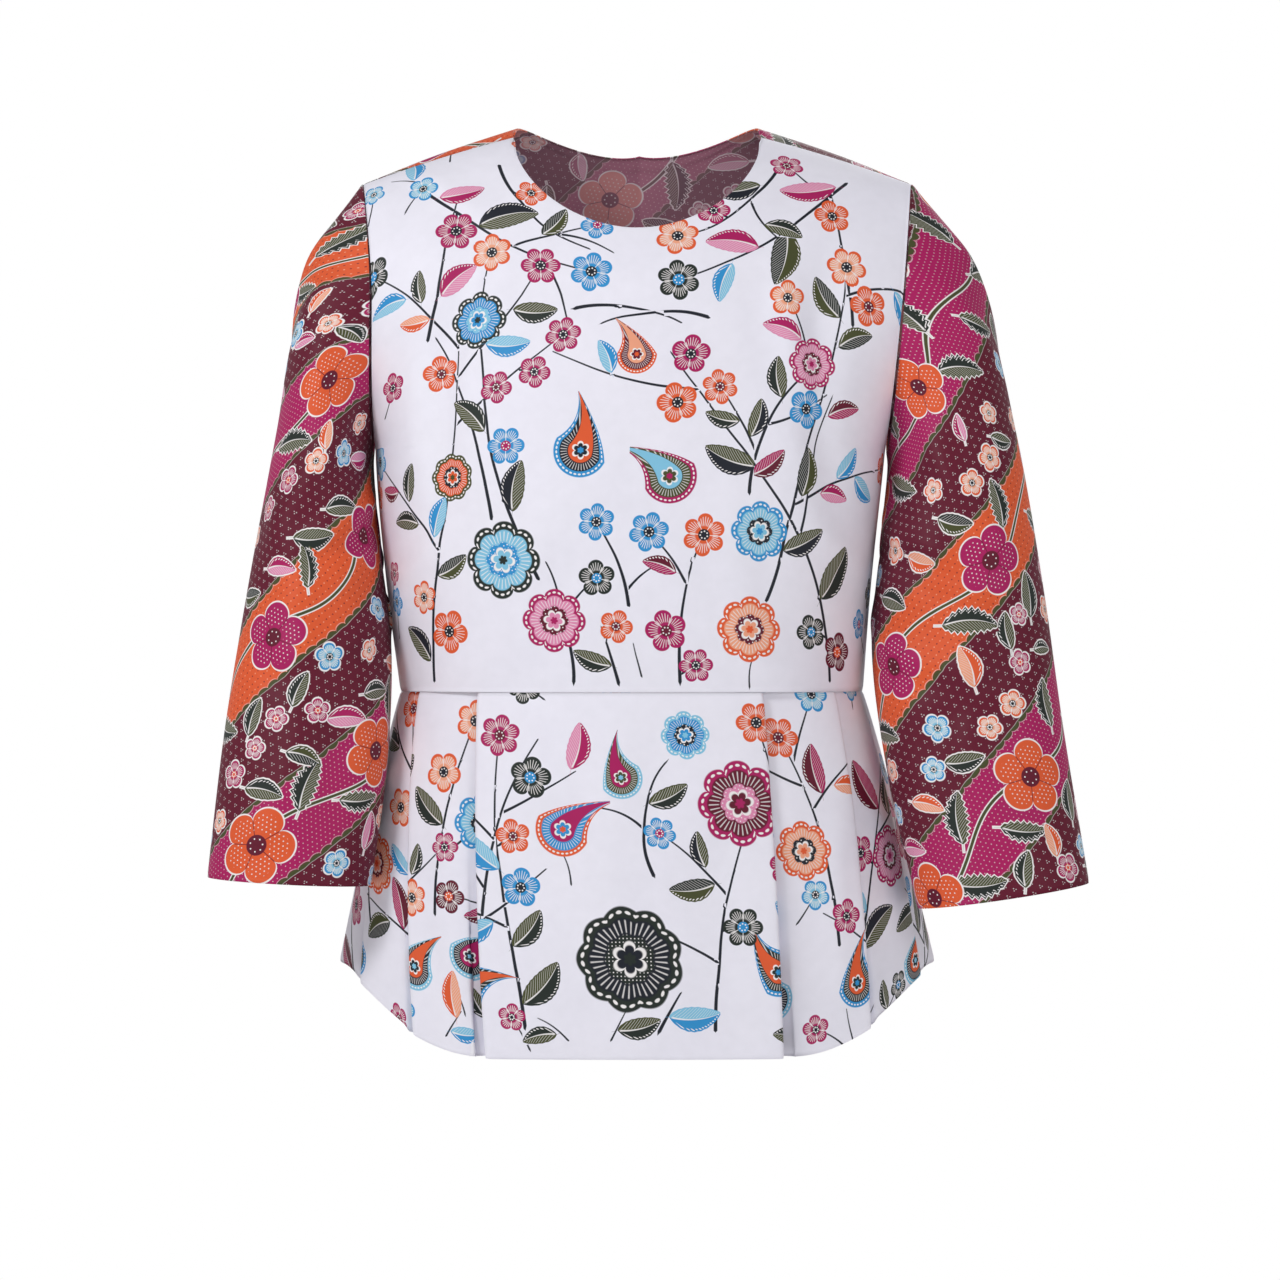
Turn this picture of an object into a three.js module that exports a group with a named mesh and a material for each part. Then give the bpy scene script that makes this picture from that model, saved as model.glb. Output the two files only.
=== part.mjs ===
// A woman's batik blouse with a round neck, three-quarter sleeves and a pleated peplum, held open as
// it hangs on a wearer. It is six cut pieces: front and back bodice, two set-in sleeves, front and
// back peplum. Each piece is a thin closed wall of cloth, and the pieces stand a hair apart at seams.
//
// Millimetres, +Z up, the front faces -Y and the wearer's left is +X. The origin is midway between
// the two points where the shoulder seams meet the neckline, which is where a wearer carries it.
import * as THREE from "three";

const { clamp, degToRad, lerp, smoothstep } = THREE.MathUtils;
const QUARTER = Math.PI / 2;

// ---------------------------------------------------------------- driving dimensions
const WALL = 1.4;
const SEAM_GAP = 0.3;

const WAIST_Z = -397.5;
const UNDERARM_Z = -225;
const YOKE_Z = -120; // where the rings end and the cloth turns up and over the shoulder

// Level sections of the body, from the waist seam up. Roundness is the superellipse's exponent, and
// shift is how far the section hangs off the middle.
const RINGS = [
  { z: WAIST_Z, halfWidth: 166, front: 121, back: 99, roundness: 2.4, shift: -4 },
  { z: -320, halfWidth: 174, front: 127, back: 107, roundness: 2.4, shift: -6 },
  { z: UNDERARM_Z, halfWidth: 183, front: 126, back: 117, roundness: 2.35, shift: -5 },
  { z: YOKE_Z, halfWidth: 188, front: 107, back: 113, roundness: 1.8, shift: 0 },
];

const NECK_HALF_WIDTH = 89;
const SHOULDER_SEAM_Y = -12; // at the neck; it runs forward of the top of the shoulder
const SHOULDER_TIP = { x: 197, y: -5, z: -33 };
const SHOULDER_BEND = 1.5; // 1 is a straight shoulder seam, more bows it upwards

// How the yoke leaves its foot (rise) and reaches the shoulder seam (over and up), from the middle of
// a panel (0) to its armhole (1). The back rolls over behind the seam, so it arrives heading down.
const FRONT_FLOW = [
  { at: 0, rise: 140, over: 108, up: 44, out: 0 },
  { at: 0.45, rise: 128, over: 116, up: 50, out: 0 },
  { at: 1, rise: 92, over: 72, up: 26, out: 6 },
];
const BACK_FLOW = [
  { at: 0, rise: 232, over: 160, up: -190, out: 0 },
  { at: 0.45, rise: 206, over: 150, up: -104, out: 0 },
  { at: 0.75, rise: 150, over: 130, up: -66, out: 2 },
  { at: 1, rise: 100, over: 80, up: -12, out: 6 },
];

// neckFoot is how far up the yoke the neckline's lowest point lies; neckRound below 1 squares its curve.
const FRONT = {
  face: -1,
  depth: "front",
  armholeDepth: 56,
  neckFoot: 0.31,
  neckRound: 0.7,
  flow: FRONT_FLOW,
};
const BACK = { face: 1, depth: "back", armholeDepth: 54, neckFoot: 0.48, neckRound: 0.8, flow: BACK_FLOW };

// Each sleeve's sections down the arm: its outer and inner edge seen from the front, then how far
// forward or back its middle lies and its half depth.
const RIGHT_ARM = [
  { at: 0.15, outX: 237, outZ: -93, inX: 190, inZ: -240, y: -5, halfDepth: 58 },
  { at: 0.38, outX: 258, outZ: -212, inX: 185.5, inZ: -288, y: -18, halfDepth: 60 },
  { at: 0.6, outX: 277, outZ: -325, inX: 175.5, inZ: -366, y: -38, halfDepth: 56 },
  { at: 0.8, outX: 291, outZ: -425, inX: 177, inZ: -450, y: -63, halfDepth: 50 },
  { at: 1, outX: 301, outZ: -527, inX: 187, inZ: -533, y: -86, halfDepth: 44 },
];
const LEFT_ARM = [
  { at: 0.15, outX: 242, outZ: -93, inX: 180.5, inZ: -240, y: -5, halfDepth: 58 },
  { at: 0.38, outX: 271, outZ: -212, inX: 175, inZ: -288, y: -18, halfDepth: 61 },
  { at: 0.6, outX: 289, outZ: -325, inX: 167.5, inZ: -368, y: -38, halfDepth: 57 },
  { at: 0.8, outX: 301, outZ: -425, inX: 177, inZ: -454, y: -62, halfDepth: 51 },
  { at: 1, outX: 316.5, outZ: -531, inX: 197, inZ: -549, y: -86, halfDepth: 45 },
];
const SLEEVES = [
  { name: "sleeve_right", side: -1, arm: RIGHT_ARM },
  { name: "sleeve_left", side: 1, arm: LEFT_ARM },
];

const PEPLUM = {
  length: 250,
  sideRise: 56, // the hem is this much higher at the side seams than at the middle
  riseFrom: 0.33,
  riseTo: 0.86,
  hemHalfWidth: 214,
  hemFront: 166,
  hemBack: 152,
  hemRoundness: 2.1,
  layer: 2.6, // from one layer of a pressed pleat to the next
  hemSink: 2,
};

// Knife pleats, folded outwards from the middle panel, which lies on top. Each is placed as a share of
// the quarter round from the middle (0) to a side seam (1). under is how far the fold goes beneath at
// the waist; at the hem it has opened, by open along the hem and depth inwards, and its edge stands
// proud of the plain outline.
const FRONT_PLEATS = [
  { waist: -0.9, hem: -0.72, under: 9, open: 7, depth: 12, proud: 2 },
  { waist: -0.7, hem: -0.5, under: 15, open: 9, depth: 19, proud: 4 },
  { waist: -0.41, hem: -0.3, under: 20, open: 20, depth: 15, proud: 11 },
  { waist: 0.33, hem: 0.29, under: 20, open: 15, depth: 18, proud: 10 },
  { waist: 0.64, hem: 0.53, under: 15, open: 8, depth: 20, proud: 5 },
  { waist: 0.88, hem: 0.76, under: 9, open: 6, depth: 12, proud: 2 },
];
const BACK_PLEATS = [
  { waist: -0.76, hem: -0.62, under: 15, open: 9, depth: 18, proud: 3 },
  { waist: -0.38, hem: -0.31, under: 20, open: 17, depth: 16, proud: 8 },
  { waist: 0.36, hem: 0.29, under: 20, open: 19, depth: 14, proud: 9 },
  { waist: 0.78, hem: 0.6, under: 15, open: 8, depth: 20, proud: 3 },
];

const BODICE_GRID = { neck: 5, shoulder: 7, low: 4, armhole: 5, yoke: 6 };
const SLEEVE_GRID = { around: 22, along: 13 };
const PEPLUM_GRID = { rows: 6, perPanel: 3 };

// ---------------------------------------------------------------- small tools
const power = (base, exponent) => Math.sign(base) * Math.abs(base) ** exponent;

// The row of a table at a key's value, each column blended along a smooth line through the rows.
function readTable(table, key, value) {
  const last = table.length - 1;
  const found = table.findIndex((row, i) => i < last && value <= table[i + 1][key]);
  const i = found < 0 ? last - 1 : found;
  const [a, b] = [table[i], table[i + 1]];
  const [before, after] = [table[Math.max(i - 1, 0)], table[Math.min(i + 2, last)]];
  const span = b[key] - a[key];
  const t = clamp((value - a[key]) / span, 0, 1);
  const slope = (low, high, column) => ((high[column] - low[column]) / (high[key] - low[key])) * span;
  return Object.fromEntries(
    Object.keys(a).map((column) => {
      const [m0, m1] = [slope(before, b, column), slope(a, after, column)];
      return [column, hermite(a[column], m0, b[column], m1, t)];
    }),
  );
}

function hermite(p0, m0, p1, m1, t) {
  const [t2, t3] = [t * t, t * t * t];
  return (2 * t3 - 3 * t2 + 1) * p0 + (t3 - 2 * t2 + t) * m0 + (3 * t2 - 2 * t3) * p1 + (t3 - t2) * m1;
}

const hermitePoint = (p0, m0, p1, m1, t) =>
  new THREE.Vector3(...["x", "y", "z"].map((axis) => hermite(p0[axis], m0[axis], p1[axis], m1[axis], t)));

const range = (count, make) => Array.from({ length: count }, (_, i) => make(i));

// ---------------------------------------------------------------- the bodice's surface
// The section at height z, and the angle at which the armhole cuts it: a quarter turn below the arm.
function section(panel, z) {
  const row = readTable(RINGS, "z", z);
  const [depth, exponent, shift] = [row[panel.depth], row.roundness, row.shift];
  if (z <= UNDERARM_Z) return { halfWidth: row.halfWidth, depth, exponent, shift, edge: QUARTER };
  const drop = clamp((YOKE_Z - z) / (YOKE_Z - UNDERARM_Z), 0, 1);
  const edgeDepth = panel.armholeDepth * Math.sqrt(1 - drop * drop);
  const halfWidth = row.halfWidth / (1 - (edgeDepth / depth) ** exponent) ** (1 / exponent);
  const edge = Math.asin((row.halfWidth / halfWidth) ** (exponent / 2));
  return { halfWidth, depth, exponent, shift, edge };
}

function ringPoint(panel, across, z) {
  const { halfWidth, depth, exponent, shift, edge } = section(panel, z);
  const angle = across * edge;
  return new THREE.Vector3(
    shift + halfWidth * power(Math.sin(angle), 2 / exponent),
    panel.face * depth * power(Math.cos(angle), 2 / exponent),
    z,
  );
}

const YOKE_TO_SHOULDER = SHOULDER_TIP.x / RINGS[RINGS.length - 1].halfWidth;

// The share of a panel's half that ends on the neckline; the rest ends on the shoulder seam.
function neckShare(panel) {
  const { halfWidth, exponent, edge } = section(panel, YOKE_Z);
  return Math.asin((NECK_HALF_WIDTH / YOKE_TO_SHOULDER / halfWidth) ** (exponent / 2)) / edge;
}

// The shoulder seam, carried on across the neck as if there were no opening.
function seamPoint(panel, across) {
  const x = ringPoint(panel, across, YOKE_Z).x * YOKE_TO_SHOULDER;
  const fall = SHOULDER_TIP.z / (1 - (SHOULDER_TIP.x / NECK_HALF_WIDTH) ** SHOULDER_BEND);
  const out = (Math.abs(x) - NECK_HALF_WIDTH) / (SHOULDER_TIP.x - NECK_HALF_WIDTH);
  return new THREE.Vector3(
    x,
    lerp(SHOULDER_SEAM_Y, SHOULDER_TIP.y, Math.max(out, 0)) + panel.face * (SEAM_GAP / 2),
    fall * (1 - (Math.abs(x) / NECK_HALF_WIDTH) ** SHOULDER_BEND),
  );
}

// The yoke, from the top ring (0) over the chest or shoulder blade to the shoulder seam (1).
function yokeSurface(panel, across, t) {
  const foot = ringPoint(panel, across, YOKE_Z);
  const flow = readTable(panel.flow, "at", Math.abs(across));
  const start = foot.clone().sub(ringPoint(panel, across, YOKE_Z - 4)).setLength(flow.rise);
  const end = new THREE.Vector3(Math.sign(across) * flow.out, -panel.face * flow.over, flow.up);
  return hermitePoint(foot, start, seamPoint(panel, across), end, t);
}

// The yoke as cut: its columns fan out to the neckline, which stops them short of the seam's line.
function yokePoint(panel, across, t) {
  const share = neckShare(panel);
  const reach = Math.abs(across);
  if (reach >= share) return yokeSurface(panel, across, t);
  const angle = (reach / share) * QUARTER;
  const end = Math.sign(across) * share * Math.sin(angle);
  const cut = 1 - (1 - panel.neckFoot) * Math.cos(angle) ** panel.neckRound;
  return yokeSurface(panel, lerp(across, end, t), t * cut);
}

// The armhole's rim on one side of a panel, from the underarm (0) up to the shoulder tip (1).
function armholePoint(panel, side, t) {
  if (t > 0.5) return yokePoint(panel, side, 2 * t - 1);
  return ringPoint(panel, side, YOKE_Z - (YOKE_Z - UNDERARM_Z) * Math.cos(2 * t * QUARTER));
}

// Where a column lies across a panel: one column falls on each corner of the neck.
function columnAcross(panel, column) {
  const { neck, shoulder } = BODICE_GRID;
  const steps = column - neck - shoulder;
  const share = neckShare(panel);
  const beyond = Math.max(Math.abs(steps) - neck, 0) / shoulder;
  const within = Math.min(Math.abs(steps) / neck, 1);
  return Math.sign(steps) * (share * within + (1 - share) * beyond);
}

function bodiceSheet(panel) {
  const { neck, shoulder, low, armhole, yoke } = BODICE_GRID;
  const columns = 2 * (neck + shoulder);
  const point = (row, across) => {
    if (row <= low) return ringPoint(panel, across, lerp(WAIST_Z + SEAM_GAP / 2, UNDERARM_Z, row / low));
    if (row > low + armhole) return yokePoint(panel, across, (row - low - armhole) / yoke);
    const drop = Math.cos(((row - low) / armhole) * QUARTER);
    return ringPoint(panel, across, YOKE_Z - (YOKE_Z - UNDERARM_Z) * drop);
  };
  return range(low + armhole + yoke + 1, (row) =>
    range(columns + 1, (column) => {
      const p = point(row, -panel.face * columnAcross(panel, column));
      if (row <= low && (column === 0 || column === columns)) p.y = panel.face * (SEAM_GAP / 2);
      return p;
    }),
  );
}

// ---------------------------------------------------------------- the sleeves' surface
// around runs 0 at the underarm, 0.25 at the front, 0.5 at the top, 0.75 at the back.
function sleevePoint(sleeve, around, along) {
  const turn = 2 * Math.PI * around;
  const top = (1 - Math.cos(turn)) / 2;
  const panel = around < 0.5 ? FRONT : BACK;
  const rim = armholePoint(panel, sleeve.side, around < 0.5 ? 2 * around : 2 - 2 * around);
  const start = { at: 0, x: rim.x + sleeve.side * lerp(2.1, 0.95, top), y: rim.y, z: rim.z };
  const line = sleeve.arm.map((row) => ({
    at: row.at,
    x: sleeve.side * lerp(row.inX, row.outX, top),
    y: row.y - row.halfDepth * Math.sin(turn),
    z: lerp(row.inZ, row.outZ, top),
  }));
  const { x, y, z } = readTable([start, ...line], "at", along);
  return new THREE.Vector3(x, y, z);
}

function sleeveSheet(sleeve) {
  const { around, along } = SLEEVE_GRID;
  return range(along + 1, (row) => {
    const t = sleeve.side > 0 ? 1 - row / along : row / along;
    return range(around, (column) => sleevePoint(sleeve, column / around, t ** 1.25));
  });
}

// ---------------------------------------------------------------- the peplum's surface
// A point of the peplum's plain outline, with no pleats, at a share down from waist to hem.
function skirtPoint(panel, across, down) {
  const waist = readTable(RINGS, "z", WAIST_Z);
  const hemDepth = panel === FRONT ? PEPLUM.hemFront : PEPLUM.hemBack;
  const angle = across * QUARTER;
  const flare = down ** 0.9;
  const exponent = lerp(waist.roundness, PEPLUM.hemRoundness, flare);
  const halfWidth = lerp(waist.halfWidth, PEPLUM.hemHalfWidth, flare);
  const rise = PEPLUM.sideRise * smoothstep(Math.abs(across), PEPLUM.riseFrom, PEPLUM.riseTo);
  return new THREE.Vector3(
    waist.shift * (1 - down) + halfWidth * power(Math.sin(angle), 2 / exponent),
    panel.face * lerp(waist[panel.depth], hemDepth, flare) * power(Math.cos(angle), 2 / exponent),
    WAIST_Z - SEAM_GAP / 2 - (PEPLUM.length - rise - SEAM_GAP / 2) * down,
  );
}

// How far one panel lies beneath the one before it, where it comes out from under the fold.
const sinkAt = (down) => lerp(2 * PEPLUM.layer, PEPLUM.hemSink, down ** 1.3);

// The corners of one pleat at a share down, as [outwards along the panel, inwards] in millimetres.
function pleatCorners(pleat, down) {
  const open = down ** 1.3;
  const { layer } = PEPLUM;
  const under = lerp(pleat.under, 5, open);
  const deep = lerp(layer, pleat.depth, open);
  const next = lerp(2, pleat.open, open);
  const proud = pleat.proud * open;
  return [
    [0, -proud],
    [0, layer - proud],
    [-under, deep],
    [-under, deep + layer],
    [next, sinkAt(down)],
  ];
}

// The columns of a peplum panel: a pleat's corners, and a few plain ones between pleats. A plain
// column's sink is its share of the depth at which its panel comes out from the fold nearer the middle;
// its proud is how far it stands out at the hem, near the fold at its panel's other edge.
function peplumColumns(pleats) {
  const stops = [{ waist: -1, hem: -1 }, ...pleats, { waist: 1, hem: 1 }];
  const columns = [];
  stops.forEach((stop, i) => {
    const from = stops[i - 1];
    if (from) {
      range(PEPLUM_GRID.perPanel, (k) => {
        const t = (k + 1) / (PEPLUM_GRID.perPanel + 1);
        const [leftSide, rightSide] = [stop.waist < 0, from.waist > 0];
        const sink = leftSide ? t : Number(rightSide) * (1 - t);
        const nearFrom = rightSide ? 0 : Math.max(1 - (leftSide ? 1 : 2) * t, 0) ** 2;
        const nearStop = leftSide ? 0 : Math.max(1 - (rightSide ? 1 : 2) * (1 - t), 0) ** 2;
        const proud = (from.proud ?? 0) * nearFrom + (stop.proud ?? 0) * nearStop;
        const [waist, hem] = [lerp(from.waist, stop.waist, t), lerp(from.hem, stop.hem, t)];
        columns.push({ waist, hem, sink, proud });
      });
    }
    if (!stop.under) columns.push({ ...stop, sink: 0, proud: 0 });
    else range(5, (k) => columns.push({ ...stop, corner: stop.waist > 0 ? k : 4 - k }));
  });
  return columns;
}

function peplumSheet(panel, pleats) {
  const columns = peplumColumns(pleats);
  return range(PEPLUM_GRID.rows + 1, (row) => {
    const down = 1 - row / PEPLUM_GRID.rows;
    return columns.map((column) => {
      const across = lerp(column.waist, column.hem, down);
      const p = skirtPoint(panel, across, down);
      if (Math.abs(across) === 1) return p.setY(panel.face * (SEAM_GAP / 2));
      const along = skirtPoint(panel, across + 0.001, down).sub(skirtPoint(panel, across - 0.001, down));
      along.setZ(0).normalize();
      const inward = new THREE.Vector3(along.y, -along.x, 0).multiplyScalar(panel.face);
      const plainDepth = column.sink * sinkAt(down) - column.proud * down ** 1.3;
      if (column.under === undefined) return p.addScaledVector(inward, plainDepth);
      const [out, deep] = pleatCorners(column, down)[column.corner];
      return p.addScaledVector(along, Math.sign(column.waist) * out).addScaledVector(inward, deep);
    });
  });
}

// ---------------------------------------------------------------- walls
// Half the wall's thickness at each point of a sheet, square to it and towards its outside.
function squareHalves(sheet, wraps) {
  const [rows, columns] = [sheet.length, sheet[0].length];
  const column = (j) => (wraps ? (j + columns) % columns : clamp(j, 0, columns - 1));
  return sheet.map((points, i) =>
    points.map((_, j) => {
      const across = points[column(j + 1)].clone().sub(points[column(j - 1)]);
      const up = sheet[Math.min(i + 1, rows - 1)][j].clone().sub(sheet[Math.max(i - 1, 0)][j]);
      return across.cross(up).setLength(WALL / 2);
    }),
  );
}

// A bodice panel's halves, turned to match its neighbours where it meets them.
function bodiceHalves(sheet) {
  const halves = squareHalves(sheet, false);
  const last = sheet.length - 1;
  const overShoulder = new THREE.Vector3(0, -0.4, 0.92).setLength(WALL / 2);
  halves.forEach((row, i) =>
    row.forEach((half, j) => {
      const p = sheet[i][j];
      if (i === 0) half.setZ(0).setLength(WALL / 2);
      if (p.z <= UNDERARM_Z && (j === 0 || j === row.length - 1)) half.set(Math.sign(p.x) * (WALL / 2), 0, 0);
      if (i === last && Math.abs(p.x) >= NECK_HALF_WIDTH - 1) half.copy(overShoulder);
    }),
  );
  return halves;
}

// Level halves for a pleated sheet, mitred at each corner of its folds.
function mitredHalves(sheet) {
  const normal = (a, b) => new THREE.Vector3(b.y - a.y, a.x - b.x, 0).normalize();
  return sheet.map((points) =>
    points.map((p, j) => {
      const before = j > 0 ? normal(points[j - 1], p) : normal(p, points[j + 1]);
      const after = j < points.length - 1 ? normal(p, points[j + 1]) : before;
      const mitre = 1 + before.dot(after);
      return before.clone().add(after).divideScalar(Math.max(mitre, 0.6)).multiplyScalar(WALL / 2);
    }),
  );
}

function wallGeometry(sheet, halves, wraps) {
  const [rows, columns] = [sheet.length, sheet[0].length];
  const positions = [1, -1].flatMap((sign) =>
    sheet.flatMap((row, i) => row.flatMap((p, j) => p.clone().addScaledVector(halves[i][j], sign).toArray())),
  );
  const outer = (i, j) => i * columns + (j % columns);
  const inner = (i, j) => rows * columns + outer(i, j);
  const triangles = [];
  const quad = (a, b, c, d) => triangles.push(a, b, c, a, c, d);
  const spans = wraps ? columns : columns - 1;
  range(rows - 1, (i) =>
    range(spans, (j) => {
      quad(outer(i, j), outer(i, j + 1), outer(i + 1, j + 1), outer(i + 1, j));
      quad(inner(i, j), inner(i + 1, j), inner(i + 1, j + 1), inner(i, j + 1));
    }),
  );
  range(spans, (j) => {
    quad(inner(0, j), inner(0, j + 1), outer(0, j + 1), outer(0, j));
    quad(outer(rows - 1, j), outer(rows - 1, j + 1), inner(rows - 1, j + 1), inner(rows - 1, j));
  });
  if (!wraps) {
    range(rows - 1, (i) => {
      quad(inner(i, 0), outer(i, 0), outer(i + 1, 0), inner(i + 1, 0));
      quad(outer(i, spans), inner(i, spans), inner(i + 1, spans), outer(i + 1, spans));
    });
  }
  const geometry = new THREE.BufferGeometry();
  geometry.setAttribute("position", new THREE.Float32BufferAttribute(positions, 3));
  geometry.setIndex(triangles);
  geometry.computeVertexNormals();
  return geometry;
}

// ---------------------------------------------------------------- the blouse
const WHITE_COTTON = { color: 0xe9e8f2, roughness: 0.75, metalness: 0 };
const BANDED_BATIK = { color: 0x7b1f3c, roughness: 0.75, metalness: 0 };

function piece(name, cloth, sheet, halves, wraps = false) {
  const mesh = new THREE.Mesh(wallGeometry(sheet, halves, wraps), new THREE.MeshStandardMaterial(cloth));
  mesh.name = name;
  return mesh;
}

function bodice(name, cloth, panel) {
  const sheet = bodiceSheet(panel);
  return piece(name, cloth, sheet, bodiceHalves(sheet));
}

// Seen from outside, a front panel's columns run to the wearer's left and a back panel's to the right.
function peplum(name, panel, pleats) {
  const sheet = peplumSheet(panel, pleats);
  if (panel === BACK) sheet.forEach((row) => row.reverse());
  return piece(name, WHITE_COTTON, sheet, mitredHalves(sheet));
}

function sleeve(row) {
  const sheet = sleeveSheet(row);
  return piece(row.name, BANDED_BATIK, sheet, squareHalves(sheet, true), true);
}

const blouse = new THREE.Group();
blouse.add(
  bodice("bodice_front", WHITE_COTTON, FRONT),
  bodice("bodice_back", BANDED_BATIK, BACK),
  ...SLEEVES.map(sleeve),
  peplum("peplum_front", FRONT, FRONT_PLEATS),
  peplum("peplum_back", BACK, BACK_PLEATS),
);

export default blouse;
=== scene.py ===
"""A batik peplum blouse, as cut pieces of printed cotton that hang as they do on a wearer.

Metres, +Z up, the front faces -Y and the wearer's left is +X. Sizes in the tables are millimetres.
"""
import math
import random

import bpy
import numpy as np
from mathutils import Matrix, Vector


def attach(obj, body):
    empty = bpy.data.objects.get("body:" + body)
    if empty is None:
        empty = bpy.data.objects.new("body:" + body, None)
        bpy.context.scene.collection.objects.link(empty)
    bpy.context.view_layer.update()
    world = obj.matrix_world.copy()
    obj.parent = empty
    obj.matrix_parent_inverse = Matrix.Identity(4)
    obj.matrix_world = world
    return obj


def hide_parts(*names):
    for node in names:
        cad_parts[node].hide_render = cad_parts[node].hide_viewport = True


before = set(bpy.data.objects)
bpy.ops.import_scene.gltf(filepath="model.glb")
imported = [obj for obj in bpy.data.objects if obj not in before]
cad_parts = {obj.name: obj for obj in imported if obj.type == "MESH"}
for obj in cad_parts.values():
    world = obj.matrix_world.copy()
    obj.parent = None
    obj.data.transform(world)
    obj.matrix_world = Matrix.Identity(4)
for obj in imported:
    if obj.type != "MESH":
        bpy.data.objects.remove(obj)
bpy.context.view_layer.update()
MM = 0.001
QUARTER = math.pi / 2

# ---------------------------------------------------------------- the blouse's own sizes, mm
CLOTH = 0.7  # thickness
HEM_TURN = 0.5  # extra thickness where a piece's last row (neck, cuff or hem) is turned under
LAST_ROW = 1  # its place in edge_distance
SEAM_GAP = 0.3
WAIST_Z, UNDERARM_Z, YOKE_Z = -397.5, -225.0, -120.0

RINGS = [
    dict(z=WAIST_Z, half=166, front=121, back=99, round=2.4, shift=-4),
    dict(z=-320, half=174, front=127, back=107, round=2.4, shift=-6),
    dict(z=UNDERARM_Z, half=183, front=126, back=117, round=2.35, shift=-5),
    dict(z=YOKE_Z, half=188, front=107, back=113, round=1.8, shift=0),
]
NECK_HALF, SEAM_Y = 89.0, -12.0
TIP = dict(x=197.0, y=-5.0, z=-33.0)
SHOULDER_BEND = 1.5
FRONT = dict(
    face=-1, depth="front", armhole=56.0, foot=0.31, round=0.7, hem=166.0,
    flow=[
        dict(at=0, rise=140, over=108, up=44, out=0),
        dict(at=0.45, rise=128, over=116, up=50, out=0),
        dict(at=1, rise=92, over=72, up=26, out=6),
    ],
)
BACK = dict(
    face=1, depth="back", armhole=54.0, foot=0.48, round=0.8, hem=152.0,
    flow=[
        dict(at=0, rise=232, over=160, up=-190, out=0),
        dict(at=0.45, rise=206, over=150, up=-104, out=0),
        dict(at=0.75, rise=150, over=130, up=-66, out=2),
        dict(at=1, rise=100, over=80, up=-12, out=6),
    ],
)
ARMS = {
    -1: [
        dict(at=0.15, ox=237, oz=-93, ix=190, iz=-240, y=-5, deep=58),
        dict(at=0.38, ox=258, oz=-212, ix=185.5, iz=-288, y=-18, deep=60),
        dict(at=0.6, ox=277, oz=-325, ix=175.5, iz=-366, y=-38, deep=56),
        dict(at=0.8, ox=291, oz=-425, ix=177, iz=-450, y=-63, deep=50),
        dict(at=1, ox=301, oz=-527, ix=187, iz=-533, y=-86, deep=44),
    ],
    1: [
        dict(at=0.15, ox=242, oz=-93, ix=180.5, iz=-240, y=-5, deep=58),
        dict(at=0.38, ox=271, oz=-212, ix=175, iz=-288, y=-18, deep=61),
        dict(at=0.6, ox=289, oz=-325, ix=167.5, iz=-368, y=-38, deep=57),
        dict(at=0.8, ox=301, oz=-425, ix=177, iz=-454, y=-62, deep=51),
        dict(at=1, ox=316.5, oz=-531, ix=197, iz=-549, y=-86, deep=45),
    ],
}
PEPLUM = dict(
    length=250.0, rise=56.0, rise_from=0.33, rise_to=0.86, half=214.0, round=2.1, layer=2.6, sink=2.0
)
FRONT_PLEATS = [
    dict(waist=-0.9, hem=-0.72, under=9, open=7, depth=12, proud=2),
    dict(waist=-0.7, hem=-0.5, under=15, open=9, depth=19, proud=4),
    dict(waist=-0.41, hem=-0.3, under=20, open=20, depth=15, proud=11),
    dict(waist=0.33, hem=0.29, under=20, open=15, depth=18, proud=10),
    dict(waist=0.64, hem=0.53, under=15, open=8, depth=20, proud=5),
    dict(waist=0.88, hem=0.76, under=9, open=6, depth=12, proud=2),
]
BACK_PLEATS = [
    dict(waist=-0.76, hem=-0.62, under=15, open=9, depth=18, proud=3),
    dict(waist=-0.38, hem=-0.31, under=20, open=17, depth=16, proud=8),
    dict(waist=0.36, hem=0.29, under=20, open=19, depth=14, proud=9),
    dict(waist=0.78, hem=0.6, under=15, open=8, depth=20, proud=3),
]


# ---------------------------------------------------------------- small tools
def lerp(a, b, t):
    return a + (b - a) * t


def smooth(value, low, high):
    t = np.clip((value - low) / (high - low), 0, 1)
    return t * t * (3 - 2 * t)


def power(base, exponent):
    return np.sign(base) * np.abs(base) ** exponent


def hermite(p0, m0, p1, m1, t):
    t2, t3 = t * t, t * t * t
    return (2 * t3 - 3 * t2 + 1) * p0 + (t3 - 2 * t2 + t) * m0 + (3 * t2 - 2 * t3) * p1 + (t3 - t2) * m1


def read_table(rows, key, value):
    """Every column of a table at the key's values, along a smooth line through the rows.

    A column may hold arrays, so that a row can be a whole ring of points."""
    value = np.asarray(value, float)
    last = len(rows) - 1
    out = {c: None for c in rows[0] if c != key}
    for i in range(last):
        a, b = rows[i], rows[i + 1]
        before, after = rows[max(i - 1, 0)], rows[min(i + 2, last)]
        span = b[key] - a[key]
        low = -np.inf if i == 0 else a[key]
        high = np.inf if i == last - 1 else b[key]
        here = (value > low) & (value <= high)
        t = np.clip((value - a[key]) / span, 0, 1)
        for c in out:
            m0 = (b[c] - before[c]) / (b[key] - before[key]) * span
            m1 = (after[c] - a[c]) / (after[key] - a[key]) * span
            got = hermite(a[c], m0, b[c], m1, t)
            out[c] = np.where(here, got, 0 if out[c] is None else out[c])
    return out


def vec(x, y, z):
    return np.stack(np.broadcast_arrays(x, y, z), -1).astype(float)


def unit(v):
    return v / np.maximum(np.linalg.norm(v, axis=-1, keepdims=True), 1e-9)


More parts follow.
